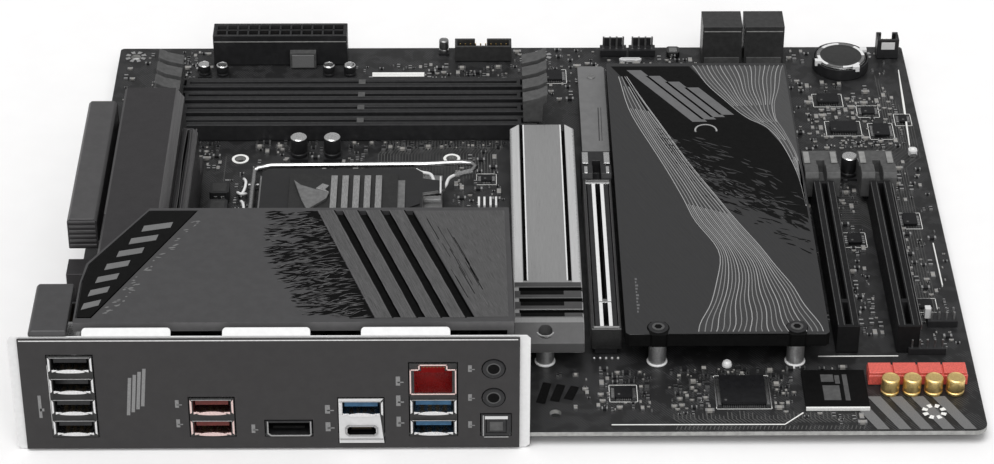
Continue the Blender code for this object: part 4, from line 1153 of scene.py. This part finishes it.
def regulator_heatsinks():
    # Slanted faces high up get a painted edge highlight, and the tops of the outer fin block a lighter copy
    # of the extrusion as painted light.
    def paint(centre, normal):
        slanted = 0.15 < abs(normal.z) < 0.95
        if slanted and centre.z > 25:
            return 1
        return 2 if centre.x < 10.6 and normal.z > 0.5 else 0
    dress("vrm_heatsink_top", ["extrusion", "extrusion_edge", "extrusion_light"], paint, bevel=0.25)
    dress("vrm_heatsink_rear", ["extrusion"], bevel=0.2)
    shape = Shape()
    low = span("vrm_heatsink_top")[0]
    # Thin lighter bars paint highlights on the fin edges of the outer block.
    for i in range(6):
        z = 27.0 + 1.9 * i
        shape.box((0.8, 9.8), (low.y + 41.0, low.y + 41.5), (z, z + 0.9), "extrusion_light")
    # Alternating light and near black lines paint lit and shaded fins on the lower step.
    for i, x in enumerate((34.1, 35.0, 35.9, 36.7)):
        path = [(x + 0.18 * math.sin(0.13 * y + 1.7 * i), y) for y in range(72, 140, 2)]
        shape.ribbon(path, 0.34, 29.0, 29.35, "extrusion_light" if i % 2 else "nylon")
    # Two strips paint highlights along edges of the slab and the lower step.
    shape.box((12.5, 13.4), (72.0, 152.4), (37.55, 37.75), "extrusion_edge")
    shape.box((38.1, 38.7), (73.0, 139.0), (28.6, 29.2), "extrusion_edge")
    piece("regulator_fins", shape, bevel=0.12)


def drive_sink():
    """Silver drive heatsink: painted highlights on the groove edges and side faces, painted shade in the
    grooves and slots, a dark slotted stretch and a sloped foot.
    """
    low, high = span("m2_heatsink")

    # Side faces get a painted highlight; groove floors and walls, and the faces of the slotted stretch below
    # its top, are painted near black as shade.
    def paint(centre, normal):
        up = normal.z > 0.5
        if centre.y < SINK_FOOT_END:
            return 2
        if centre.y < SINK_SLOTS_END:
            return 1 if up and centre.z > high.z - 0.5 else 3
        in_groove = any(left < centre.x < right for left, right in SINK_GROOVES)
        if in_groove and (not up or centre.z < high.z - 0.5):
            return 3
        return 0 if up else 4
    looks = ["silver", "sink_front", "sink_foot", "cover_dark", "silver_edge"]
    dress("m2_heatsink", looks, paint, bevel=0.3, segments=3)
    shape = Shape()
    # Over each slot stretch: a grey ledge, a thin light strip that paints a highlight on its edge, and a
    # near black strip of painted shade over the slot opening.
    for y0, y1 in ((44.4, 47.0), (49.0, 53.4), (55.4, 59.8), (61.8, 64.8)):
        shape.box((151.0, 173.6), (y0, y1), (high.z, high.z + 0.04), "sink_front")
        shape.box((151.2, 173.4), (y0, y0 + 0.35), (high.z + 0.04, high.z + 0.1), "steel_dull")
        if y0 < 60.0:
            shape.box((152.9, 167.6), (y1 - 2.2, y1), (high.z + 0.04, high.z + 0.08), "cover_dark")
    for outer, inner in ((low.x + 0.45, SINK_GROOVES[0][0]), (high.x - 0.45, SINK_GROOVES[1][1])):
        side = math.copysign(1.0, inner - outer)
        flank = [(outer, 65.0), (inner, 65.0), (inner, high.y - 0.4), (outer + side * 2.7, high.y - 0.4),
                 (outer, high.y - 3.1)]
        shape.prism("z", flank, high.z, high.z + 0.03, "silver_pale")
        # A bright line paints the highlight along each outer edge.
        line = sorted((outer, outer + side * 0.3))
        shape.box(line, (66.0, high.y - 3.4), (high.z, high.z + 0.08), "silver_edge")
    # Raised near white lines paint highlights along the groove edges.
    for x0, x1 in ((155.3, 155.75), (168.85, 169.3)):
        shape.box((x0, x1), (66.0, high.y - 0.4), (high.z, high.z + 0.08), "rim")
    screw = middle("standoff_1")
    # A bright ring paints the highlight round the screw.
    shape.washer(screw, 2.478, 2.95, 11.9, 12.45, lambda k: "silver_edge", 28)
    shape.lathe(screw, [(1.9, 6.8), (1.9, 9.6), (1.2, 10.0)], "steel_dull", 20)
    piece("drive_sink_trim", shape)
    dress("side_bar", ["silver_dark", "bar_grey"], lambda c, n: n.z > 0.5, bevel=0.3, segments=3)
    bar = Shape()
    top = span("side_bar")[1].z
    bar.ribbon([(183.6, 163.0), (183.9, 186.0)], 0.35, top, top + 0.05, "extrusion")
    bar.ribbon([(184.6, 163.0), (184.9, 186.0)], 0.2, top, top + 0.05, "extrusion")
    bar.lathe((182.0, 208.0), [(1.6, top), (1.6, top + 0.25), (1.2, top + 0.4)], "steel_dull", 20)
    piece("side_bar_details", bar)


FLOW_LEFT = ([(192, 199), (196, 171), (208, 130), (214, 105), (222, 80), (217, 53), (211.5, 36)],
             [(195, 199), (205, 168), (219, 128), (232, 96), (241, 74), (248, 54), (253.5, 36)])
FLOW_RIGHT = ([(220, 207), (228, 187), (238, 170), (245, 163), (250, 150), (253.6, 130), (254.6, 111)],
              [(254.6, 207), (250.5, 187), (248.5, 172), (250.5, 162), (253.2, 150), (254.6, 139),
               (254.8, 128)])


def shield_pattern():
    """Line art on the shield: dark diagonal band, plain bars, flowing contour lines and brush strokes."""
    top = span("drive_shield")[1].z
    shape = Shape()
    band = [(189.4, 206.4), (219.0, 206.4), (228, 187), (238, 170), (245, 162.5), (250, 150), (254.8, 132),
            (254.8, 103), (246, 112), (235, 124), (224, 134), (213, 150), (205, 166), (198, 183),
            (193.4, 198)]
    shape.prism("z", band, top, top + 0.03, "shield_dark")
    corner = [(238, 170), (245, 162.5), (251, 147), (254.9, 132), (254.9, 206.4), (219.6, 206.4),
              (228.4, 187)]
    shape.prism("z", corner, top, top + 0.025, "shield_light")
    for i in range(4):
        x, y, foot = 195.2 + 7.0 * i, 203.6 - 4.2 * i, 167.0 + 1.6 * i
        run = 0.62 * (y - foot)
        bar = [(x, y), (x + 5.4, y), (x + 5.4 + run, foot), (x + run, foot)]
        shape.prism("z", bar, top + 0.03, top + 0.06, "shield_mark")
    for i in range(11):
        y = 47.0 + 1.9 * i
        shape.box((192.0, 192.5 + 0.25 * (i % 3)), (y, y + 1.1), (top, top + 0.04), "shield_mark")
    for x, _ in (middle("shield_screw_2"), middle("shield_screw_3")):
        boss = [(x - 3.0, 34.7), (x - 2.2, 33.9), (x + 2.2, 33.9), (x + 3.0, 34.7), (x + 3.6, 38.0),
                (x + 3.6, 39.4), (x + 2.4, 41.6), (x - 2.4, 41.6), (x - 3.6, 39.4), (x - 3.6, 38.0)]
        shape.prism("z", boss, 9.2, top + 0.06, "shield_dark")
    left, right = (smooth_path(guide) for guide in FLOW_LEFT)
    shape.prism("z", left + right[::-1], top, top + 0.022, "shield_glow")
    for number, (guides, count) in enumerate(((FLOW_LEFT, 22), (FLOW_RIGHT, 20))):
        flow_lines(shape, guides, count, top, number)
    near = [(204.0, 168.0), (213.0, 152.0), (224.0, 136.0), (235.0, 126.0), (246.0, 114.0), (254.9, 105.0),
            (254.9, 92.0), (244.0, 103.0), (232.0, 113.0), (221.0, 124.0), (211.0, 142.0), (204.0, 156.0)]
    far = [(206.0, 156.0), (214.0, 140.0), (224.0, 124.0), (234.0, 112.0), (246.0, 101.0), (254.9, 90.0),
           (254.9, 78.0), (240.0, 94.0), (226.0, 108.0), (215.0, 124.0), (209.0, 140.0)]
    strokes(shape, near, 1500, (2.0, 7.5), (0.6, 1.7), -38.0, top, "shield_dark", 42)
    strokes(shape, far, 420, (1.6, 6.0), (0.3, 0.9), -36.0, top, "shield_dark", 44)
    strokes(shape, near, 420, (1.4, 5.5), (0.2, 0.6), -34.0, top + 0.05, "shield", 41)
    strokes(shape, near, 170, (1.0, 4.0), (0.15, 0.35), -38.0, top + 0.06, "shield_mark", 43)
    upper = [(205.0, 168.0), (214.0, 160.0), (226.0, 156.0), (240.0, 140.0), (254.6, 122.0), (254.6, 104.0),
             (244.0, 114.0), (233.0, 125.0), (222.0, 136.0), (212.0, 151.0)]
    strokes(shape, upper, 230, (1.6, 7.0), (0.3, 0.9), -36.0, top + 0.03, "shield", 45)
    piece("shield_pattern", shape)


FLOW_GAP = 0.78  # nearest that two contour lines run before every other one drops out


def flow_lines(shape, guides, count, top, seed):
    """Contour lines that run between two guide curves. Where they crowd, every other one drops out."""
    left, right = (smooth_path(guide) for guide in guides)
    rows = []
    for (x0, y0), (x1, y1) in zip(left, right):
        pitch = math.hypot(x1 - x0, y1 - y0) / (count - 1)
        stride = 1
        while pitch * stride < FLOW_GAP and stride < 8:
            stride *= 2
        rows.append(stride)
    for i in range(count):
        run = []
        for k, ((x0, y0), (x1, y1)) in enumerate(zip(left, right)):
            t = i / (count - 1) + 0.012 * math.sin(0.9 * k + 9.0 * i / count + seed)
            point = (min(x0 + (x1 - x0) * t, 255.0), y0 + (y1 - y0) * t)
            if i % rows[k] == 0 or i == count - 1:
                run.append(point)
            elif run:
                shape_run(shape, run, top, i)
                run = []
        shape_run(shape, run, top, i)


def shape_run(shape, run, top, number):
    """One stretch of contour line, with every third a little brighter."""
    if len(run) > 1:
        look = "soft_line" if number % 3 else "fine_line"
        shape.ribbon(run, 0.3, top + 0.03, top + 0.08, look)


def drive_cover():
    # The shield's side faces are painted near black as shade.
    dress("drive_shield", ["shield", "cover_dark"], lambda c, n: abs(n.z) < 0.4, bevel=0.35, segments=3)
    shield_pattern()
    fixings = Shape()
    for number in (2, 3):
        screw = middle(f"shield_screw_{number}")
        fixings.lathe(screw, [(2.2, 13.8), (2.1, 14.45), (1.3, 14.45)], "nylon_light", 20)
        # A near black disc of painted shade in each screw head's socket.
        fixings.lathe(screw, [(1.35, 14.3), (1.35, 14.46)], "hollow", 6)
    front = middle("shield_screw_4")
    fixings.lathe(front, [(2.0, 13.2), (1.9, 13.75), (1.2, 13.8)], "steel_dull", 20)
    # A bright arc paints the highlight round the front screw.
    fixings.ribbon(circle(*front, 3.9, 18, (-1 / 36, 103 / 180)), 0.6, 13.9, 14.12, "silver_edge")
    # Near white rings at the feet of the standoffs, and the small dome, paint their highlights.
    for number in (1, 2, 3):
        fixings.lathe(middle(f"standoff_{number}"), [(3.5, 0.02), (3.5, 0.35), (3.05, 0.5)], "rim", 20)
    fixings.lathe((221.9, 35.9), [(1.7, 0.02), (1.7, 0.7), (1.4, 1.5), (0.8, 2.0)], "rim", 16)
    piece("shield_fixings", fixings)
    for number in (2, 3, 4):
        dress(f"shield_screw_{number}", ["nylon"], bevel=0.25, segments=3)
    for number in (1, 2, 3):
        dress(f"standoff_{number}", ["standoff"], bevel=0.3, segments=3)


# Processor socket.

def socket():
    dress("socket_body", ["nylon"], bevel=0.2)
    dress("socket_frame", ["steel_dull"], bevel=0.2)
    dress("socket_backplate", ["steel_dull"], bevel=0.2)
    dress("load_plate", ["plate_steel", "steel_dull"], lambda c, n: abs(n.z) < 0.5, bevel=0.25, segments=3)
    dress("load_lever", ["wire"], bevel=0.0)
    top = span("socket_cap")[1].z
    # The top faces of the cap get a light brushed metal look that paints the sheen on its bars.
    dress("socket_cap", ["cap", "cap_bar"], lambda c, n: c.z > top - 0.1 and n.z > 0.5, bevel=0.2)
    wedge = Shape()
    wing = [(72.6, 136.6), (75.2, 133.4), (80.0, 130.8), (85.6, 128.6), (84.6, 124.6), (78.0, 117.4),
            (76.0, 123.0)]
    wedge.prism("z", wing, top - 1.25, top - 0.3, "cap_wedge")
    # The tip is painted with the same sheen.
    tip = [(80.6, 131.2), (83.0, 134.4), (85.4, 133.0), (84.0, 130.6), (85.4, 128.9)]
    wedge.prism("z", tip, top - 1.25, top - 0.4, "cap_bar")
    piece("socket_cap_wedge", wedge, "load_plate", bevel=0.15)
    loop = Shape()
    loop.tube(smooth_path([(116.4, 149.6, 4.6), (118.2, 147.9, 4.6), (121.6, 146.2, 4.8),
                           (122.8, 142.0, 5.0), (123.6, 137.6, 5.0), (125.4, 135.9, 5.0),
                           (127.2, 138.4, 5.0), (128.2, 143.0, 4.8), (130.0, 145.8, 4.4),
                           (131.6, 146.8, 4.2)], 4), 0.6, "rim", 8)
    loop.tube([(125.4, 141.5, 6.7), (125.4, 131.0, 6.7)], 0.35, "rim", 8)
    loop.box((109.6, 112.6), (121.0, 139.0), (6.3, 6.9), "cap_wedge")
    loop.prism("z", [(112.9, 126.0), (117.5, 128.0), (118.0, 124.0), (113.0, 121.0)], 6.3, 6.8, "nylon")
    piece("nose_spring", loop, "load_plate", smooth=True)
    crank = Shape()
    crank.tube([(57.4, 104.0, 3.4), (57.4, 112.0, 3.4)], 1.55, "steel_dull", 14)
    for y in (104.2, 112.6, 143.6):
        crank.box((55.4, 59.4), (y, y + 1.0), (0.3, 2.1), "steel")
    for path in ([(53.4, 149.6, 0.5), (53.8, 147.0, 2.4), (54.6, 144.4, 2.8), (54.2, 141.6, 1.6),
                  (53.2, 139.8, 0.5)],
                 [(51.8, 141.0, 0.5), (52.0, 138.0, 2.4), (53.4, 136.4, 2.9), (54.8, 137.6, 2.2),
                  (54.9, 139.6, 0.6)],
                 [(53.4, 134.6, 0.5), (53.6, 132.4, 2.4), (54.4, 130.2, 2.6), (54.8, 128.0, 0.6)]):
        crank.tube(smooth_path(path, 4), 0.55, "rim", 8)
    for x in (139.2, 141.2, 143.4, 145.4):
        crank.post(x, 134.35, 0.8, 5.7, (0.0, 1.0), "rim")
    floor = 2.4
    field = Shape()
    for i in range(34):
        for k in range(28):
            x, y = 73.8 + i, 111.5 + k
            if abs(x - 90.3) > 5.0 or abs(y - 125.0) > 4.5:
                spring = [(x, y), (x + 0.55, y + 0.15), (x + 0.5, y + 0.4), (x, y + 0.25)]
                field.prism("z", spring, floor, floor + 0.5, "gold")
    piece("socket_contacts", field)
    crank.lathe((122.3, 136.9), [(2.6, 4.0), (2.6, 4.6), (2.1, 4.85)], "steel", 20)
    piece("socket_hardware", crank, bevel=0.1)


# Memory, expansion slots and connectors.

def memory():
    for i in range(1, 5):
        # Slot floors are painted near black as shade.
        dress(f"dimm_slot_{i}", ["nylon", "hollow"], lambda c, n: n.z > 0.5 and c.z < 3.0, bevel=0.18)
        dress(f"dimm_latch_a{i}", ["nylon_light"], bevel=0.35, segments=3)
        dress(f"dimm_latch_b{i}", ["nylon_light"], bevel=0.35, segments=3)
    contacts, ledges = Shape(), Shape()
    for i in range(1, 5):
        top, y = span(f"dimm_slot_{i}")[1].z, middle(f"dimm_slot_{i}")[1]
        # A near black strip of painted shade down each slot.
        ledges.post(92.2, y, 123.6, 1.24, (5.6, 5.7), "hollow")
        for k in range(72):
            x = 31.0 + DIMM_PITCH * k
            if not 92.8 < x < 97.0:
                for side in (-1, 1):
                    contacts.post(x + 0.3, y + side * 0.64, 0.6, 0.24, (2.4, 5.6), "gold")
        for side in (-1, 1):
            ledges.post(92.2, y + side * 1.5, 123.6, 0.26, (top, top + 0.12), "ledge")
        ledges.post(95.2, y, 2.6, 3.2, (top, top + 0.25), "nylon_light")
        for x, wide in ((25.4, 5.2), (158.5, 5.0)):
            ledges.post(x, y - 2.55, wide, 0.7, (top, top + 0.3), "nylon_light")
    piece("memory_contacts", contacts)
    piece("memory_ledges", ledges, bevel=0.06)


def expansion():
    # Slot floors are painted near black as shade.
    def slot_floor_shade(centre, normal):
        return normal.z > 0.5 and centre.z < 3.2 and centre.y < 131

    # Front faces and the top of the armour get a darker copy of its steel, as painted shade; the other faces
    # stay lighter.
    def armour_shade_paint(centre, normal):
        return normal.y < -0.5 or normal.z > 0.5 and centre.z > armour_high.z - 0.3
    armour_low, armour_high = span("pcie_armour")
    for i in (1, 2, 3):
        dress(f"pcie_slot_{i}", ["nylon" if i == 1 else "slot_black", "hollow"], slot_floor_shade, bevel=0.2)
        dress(f"pcie_latch_{i}", ["nylon" if i == 1 else "nylon_light"], bevel=0.3, segments=3)
    dress("pcie_armour", ["steel_dull", "steel_dark"], armour_shade_paint, bevel=0.3, segments=3)
    contacts, trim = Shape(), Shape()
    for i in (1, 2, 3):
        top, x = span(f"pcie_slot_{i}")[1].z, middle(f"pcie_slot_{i}")[0]
        for k in range(82):
            y = 44.6 + k
            if not 56.4 < y < 59.0 and y < 129.8:
                for side in (-1, 1):
                    contacts.post(x + side * 0.735, y + 0.275, 0.25, 0.55, (3.4, 6.0), "steel_dark")
        for side in (-1, 1):
            if i == 1:
                trim.post(x + side * 1.5, 87.1, 1.24, 87.8, (top, top + 0.16), "rim")
                trim.post(x + side * 4.6, 87.1, 0.28, 87.8, (top, top + 0.1), "steel_dull")
            else:
                trim.post(x + side * 1.5, 87.1, 0.26, 87.4, (top, top + 0.1), "nylon_light")
                trim.post(x + side * 3.4, 87.1, 0.2, 87.4, (top, top + 0.1), "nylon_light")
    x, top = middle("pcie_armour")[0], armour_high.z
    for y in (armour_low.y + 1.0, armour_high.y - 2.4):
        trim.post(x, y, 9.2, 1.4, (top - 0.25, top - 0.02), "steel")
    trim.post(x, 57.0, 4.2, 0.8, (top - 0.5, top - 0.02), "steel")
    trim.post(x, 58.1, 1.6, 1.4, (top - 0.5, top - 0.1), "steel_dull")
    for k in range(5):
        trim.lathe((x - 4.0 + 2.0 * k, 39.9), [(0.55, 0.0), (0.5, 0.45), (0.2, 0.75)], "solder", 12)
    trim.box((287.35, 287.6), (44.0, 130.0), (8.6, 10.9), "steel_dull")
    piece("slot_contacts", contacts)
    piece("slot_trim", trim, bevel=0.08)
    for i in (1, 2, 3):
        node = f"pcie_latch_{i}"
        low, high = span(node)
        shape = Shape()
        look = "steel" if i == 1 else "nylon_pale"
        for side in (-1, 1):
            px = middle(node)[0] + side * ((high.x - low.x) / 2 - 1.5)
            shape.post(px, 146.1, 2.2, 7.4, (11.4, 11.9), look)
            if i == 1:
                tooth = [(px - 0.9, 11.0), (px + 0.9, 11.0), (px + 0.6, 12.8), (px - 0.6, 12.8)]
                shape.prism("y", tooth, 134.6, 139.0, "steel")
        piece(f"{node}_wings", shape, node, bevel=0.15)


def connectors():
    dress("atx_connector", ["nylon"], bevel=0.25)
    dress("eps_connector", ["nylon"], bevel=0.25)
    # Its floor is painted near black as shade.
    dress("usb3_header", ["ledge", "hollow"], lambda c, n: n.z > 0.5 and c.z < 2, bevel=0.2)
    dress("corner_header", ["nylon"], bevel=0.2)
    for i in (1, 2):
        dress(f"sata_block_{i}", ["ledge"], bevel=0.2)
        dress(f"fan_header_{i}", ["nylon", "steel_dull"], lambda c, n: c.z > 3.05 and 238.0 < c.y < 239.1,
              bevel=0.1)
    dress("chipset", ["chip"], bevel=0.1)
    shape, metal = Shape(), Shape()
    low, high = span("atx_connector")
    for i in range(13):
        x = low.x + 1.2 + POWER_PITCH * i
        shape.box((x - 0.35, x + 0.35), (low.y + 1.3, high.y - 1.3), (4.2, high.z - 0.2), "nylon")
    shape.box((low.x + 1.3, high.x - 1.3), (235.25, 235.95), (4.2, high.z - 0.2), "nylon")
    for x, y in atx_pins():
        metal.post(x, y, 0.8, 0.8, (4.0, 11.4), "gold")
    shape.box((low.x + 0.4, high.x - 0.4), (low.y - 0.14, low.y + 0.1), (10.4, 10.8), "nylon_pale")
    shape.box((low.x + 29.6, low.x + 39.6), (low.y - 2.6, low.y + 0.1), (0.2, 7.0), "nylon_light")
    shape.box((low.x + 30.4, low.x + 38.8), (low.y - 3.0, low.y - 2.5), (0.8, 6.2), "stripe")
    for x, y in eps_pins():
        metal.post(x, y, 0.8, 0.8, (3.9, 11.2), "gold")
    low, high = span("usb3_header")
    for i in range(10):
        for y in (235.4, 237.6):
            metal.post(low.x + 2.05 + 1.98 * i, y, 0.5, 0.5, (1.3, 5.6), "gold")
    low, high = span("corner_header")
    shape.box((low.x + 1.6, high.x - 1.6), (low.y - 0.05, low.y + 0.2), (4.2, 7.4), "white_plastic")
    for i in range(3):
        for y in (236.8, 238.9):
            metal.post(low.x + 2.45 + 1.6 * i, y, 0.5, 0.5, (1.3, 6.4), "gold")
    for i in (1, 2):
        low, high = span(f"sata_block_{i}")
        shape.box((low.x + 0.5, high.x - 0.5), (low.y - 0.12, low.y + 0.1), (high.z - 2.3, high.z - 1.9),
                  "nylon_pale")
        shape.box((low.x + 0.8, high.x - 0.8), (low.y - 0.5, low.y + 0.1), (0.3, 3.0), "nylon_light")
        for z in (4.55, 12.35):
            for k in range(7):
                metal.post(low.x + 3.25 + 1.27 * k, high.y - 3.9, 0.5, 5.0, (z - 0.04, z), "gold")
    piece("connector_ribs", shape, bevel=0.06)
    piece("connector_pins", metal, bevel=0.05)


def battery():
    dress("battery_holder", ["nylon"], bevel=0.2)
    dress("coin_cell", ["steel_dark", "steel"], lambda c, n: abs(n.z) <= 0.5, bevel=0.5, segments=3)
    high = span("coin_cell")[1]
    x, y = middle("coin_cell")
    shape = Shape()
    # Near white segments on the chrome ring paint its highlights.
    shape.washer((x, y), 8.0, 9.2, high.z - 0.1, high.z + 0.12,
                 lambda k: "rim" if k % 11 < 6 else "steel_dull", 44)
    shape.lathe((x, y), [(6.2, high.z), (6.2, high.z + 0.06), (6.0, high.z + 0.08)], "steel_dark", 40)
    # The clips are near white, as painted highlights.
    for turn in (25, 205, 300):
        a = math.radians(turn)
        px, py = x + 10.0 * math.cos(a), y + 10.0 * math.sin(a)
        shape.post(px, py, 2.6, 2.0, (3.4, high.z + 0.6), "rim")
    piece("battery_clips", shape, bevel=0.1)


def film_capacitors():
    dress("film_capacitors", ["film"], bevel=0.55, segments=3)


# Floor, light and camera.

FLOOR_SIZE = 40.0
CAMERA_LENS = 111.66
CAMERA_PLACE = (-0.01632, -0.91449, 0.61972)
CAMERA_TURN = (-0.598, 55.771, 0.168)


def floor_look():
    look = Look("floor_paper", (0.885, 0.88, 0.88), 0.7)
    look.tint(look.texture("Noise", 60.0, Detail=3.0), 0.985, 1.0)
    look.bump(look.texture("Noise", 1.0, Detail=4.0), 0.02, 0.2)
    return look.material


def stage():
    mesh = bpy.data.meshes.new("floor")
    half = FLOOR_SIZE / 2
    level = CAD_BOX[0][2] - 0.0002
    corners = [(-half, -half, level), (half, -half, level), (half, half, level), (-half, half, level)]
    mesh.from_pydata(corners, [], [(0, 1, 2, 3)])
    mesh.materials.append(floor_look())
    obj = bpy.data.objects.new("floor", mesh)
    bpy.context.scene.collection.objects.link(obj)


def soft_sun(name, tilt, turn, strength, angle):
    """A wide soft light from a direction: tilt from straight overhead, then turned about the vertical."""
    data = bpy.data.lights.new(name, "SUN")
    data.energy = strength
    data.angle = math.radians(angle)
    obj = bpy.data.objects.new(name, data)
    obj.rotation_euler = (math.radians(tilt), 0.0, math.radians(turn))
    bpy.context.scene.collection.objects.link(obj)


def studio():
    scene = bpy.context.scene
    scene.view_settings.view_transform = "Standard"
    world = bpy.data.worlds.new("studio")
    world.use_nodes = True
    world.node_tree.nodes["Background"].inputs["Color"].default_value = (1.0, 1.0, 1.0, 1.0)
    world.node_tree.nodes["Background"].inputs["Strength"].default_value = 0.42
    scene.world = world
    soft_sun("overhead", 18.0, -30.0, 1.9, 40.0)
    soft_sun("front", 52.0, 12.0, 0.9, 50.0)


def camera():
    data = bpy.data.cameras.new("camera")
    data.lens = CAMERA_LENS
    data.sensor_width = 36.0
    data.clip_start, data.clip_end = 0.01, 100.0
    obj = bpy.data.objects.new("camera", data)
    yaw, pitch, roll = (math.radians(a) for a in CAMERA_TURN)
    turn = Matrix.Rotation(yaw, 4, "Z") @ Matrix.Rotation(pitch, 4, "X") @ Matrix.Rotation(roll, 4, "Z")
    obj.matrix_world = Matrix.Translation(CAMERA_PLACE) @ turn
    bpy.context.scene.collection.objects.link(obj)
    bpy.context.scene.camera = obj


def build():
    claim_nodes()
    board()
    printed_lines()
    hole_pads()
    track_bundles()
    rear_connectors()
    port_plate()
    cover()
    regulator_heatsinks()
    drive_sink()
    drive_cover()
    socket()
    memory()
    expansion()
    connectors()
    battery()
    film_capacitors()
    electrolytics()
    chokes()
    headers()
    dark_label()
    board_mark()
    chips()
    surface_parts()
    underside()
    stage()
    studio()
    camera()


build()
bpy.context.view_layer.update()
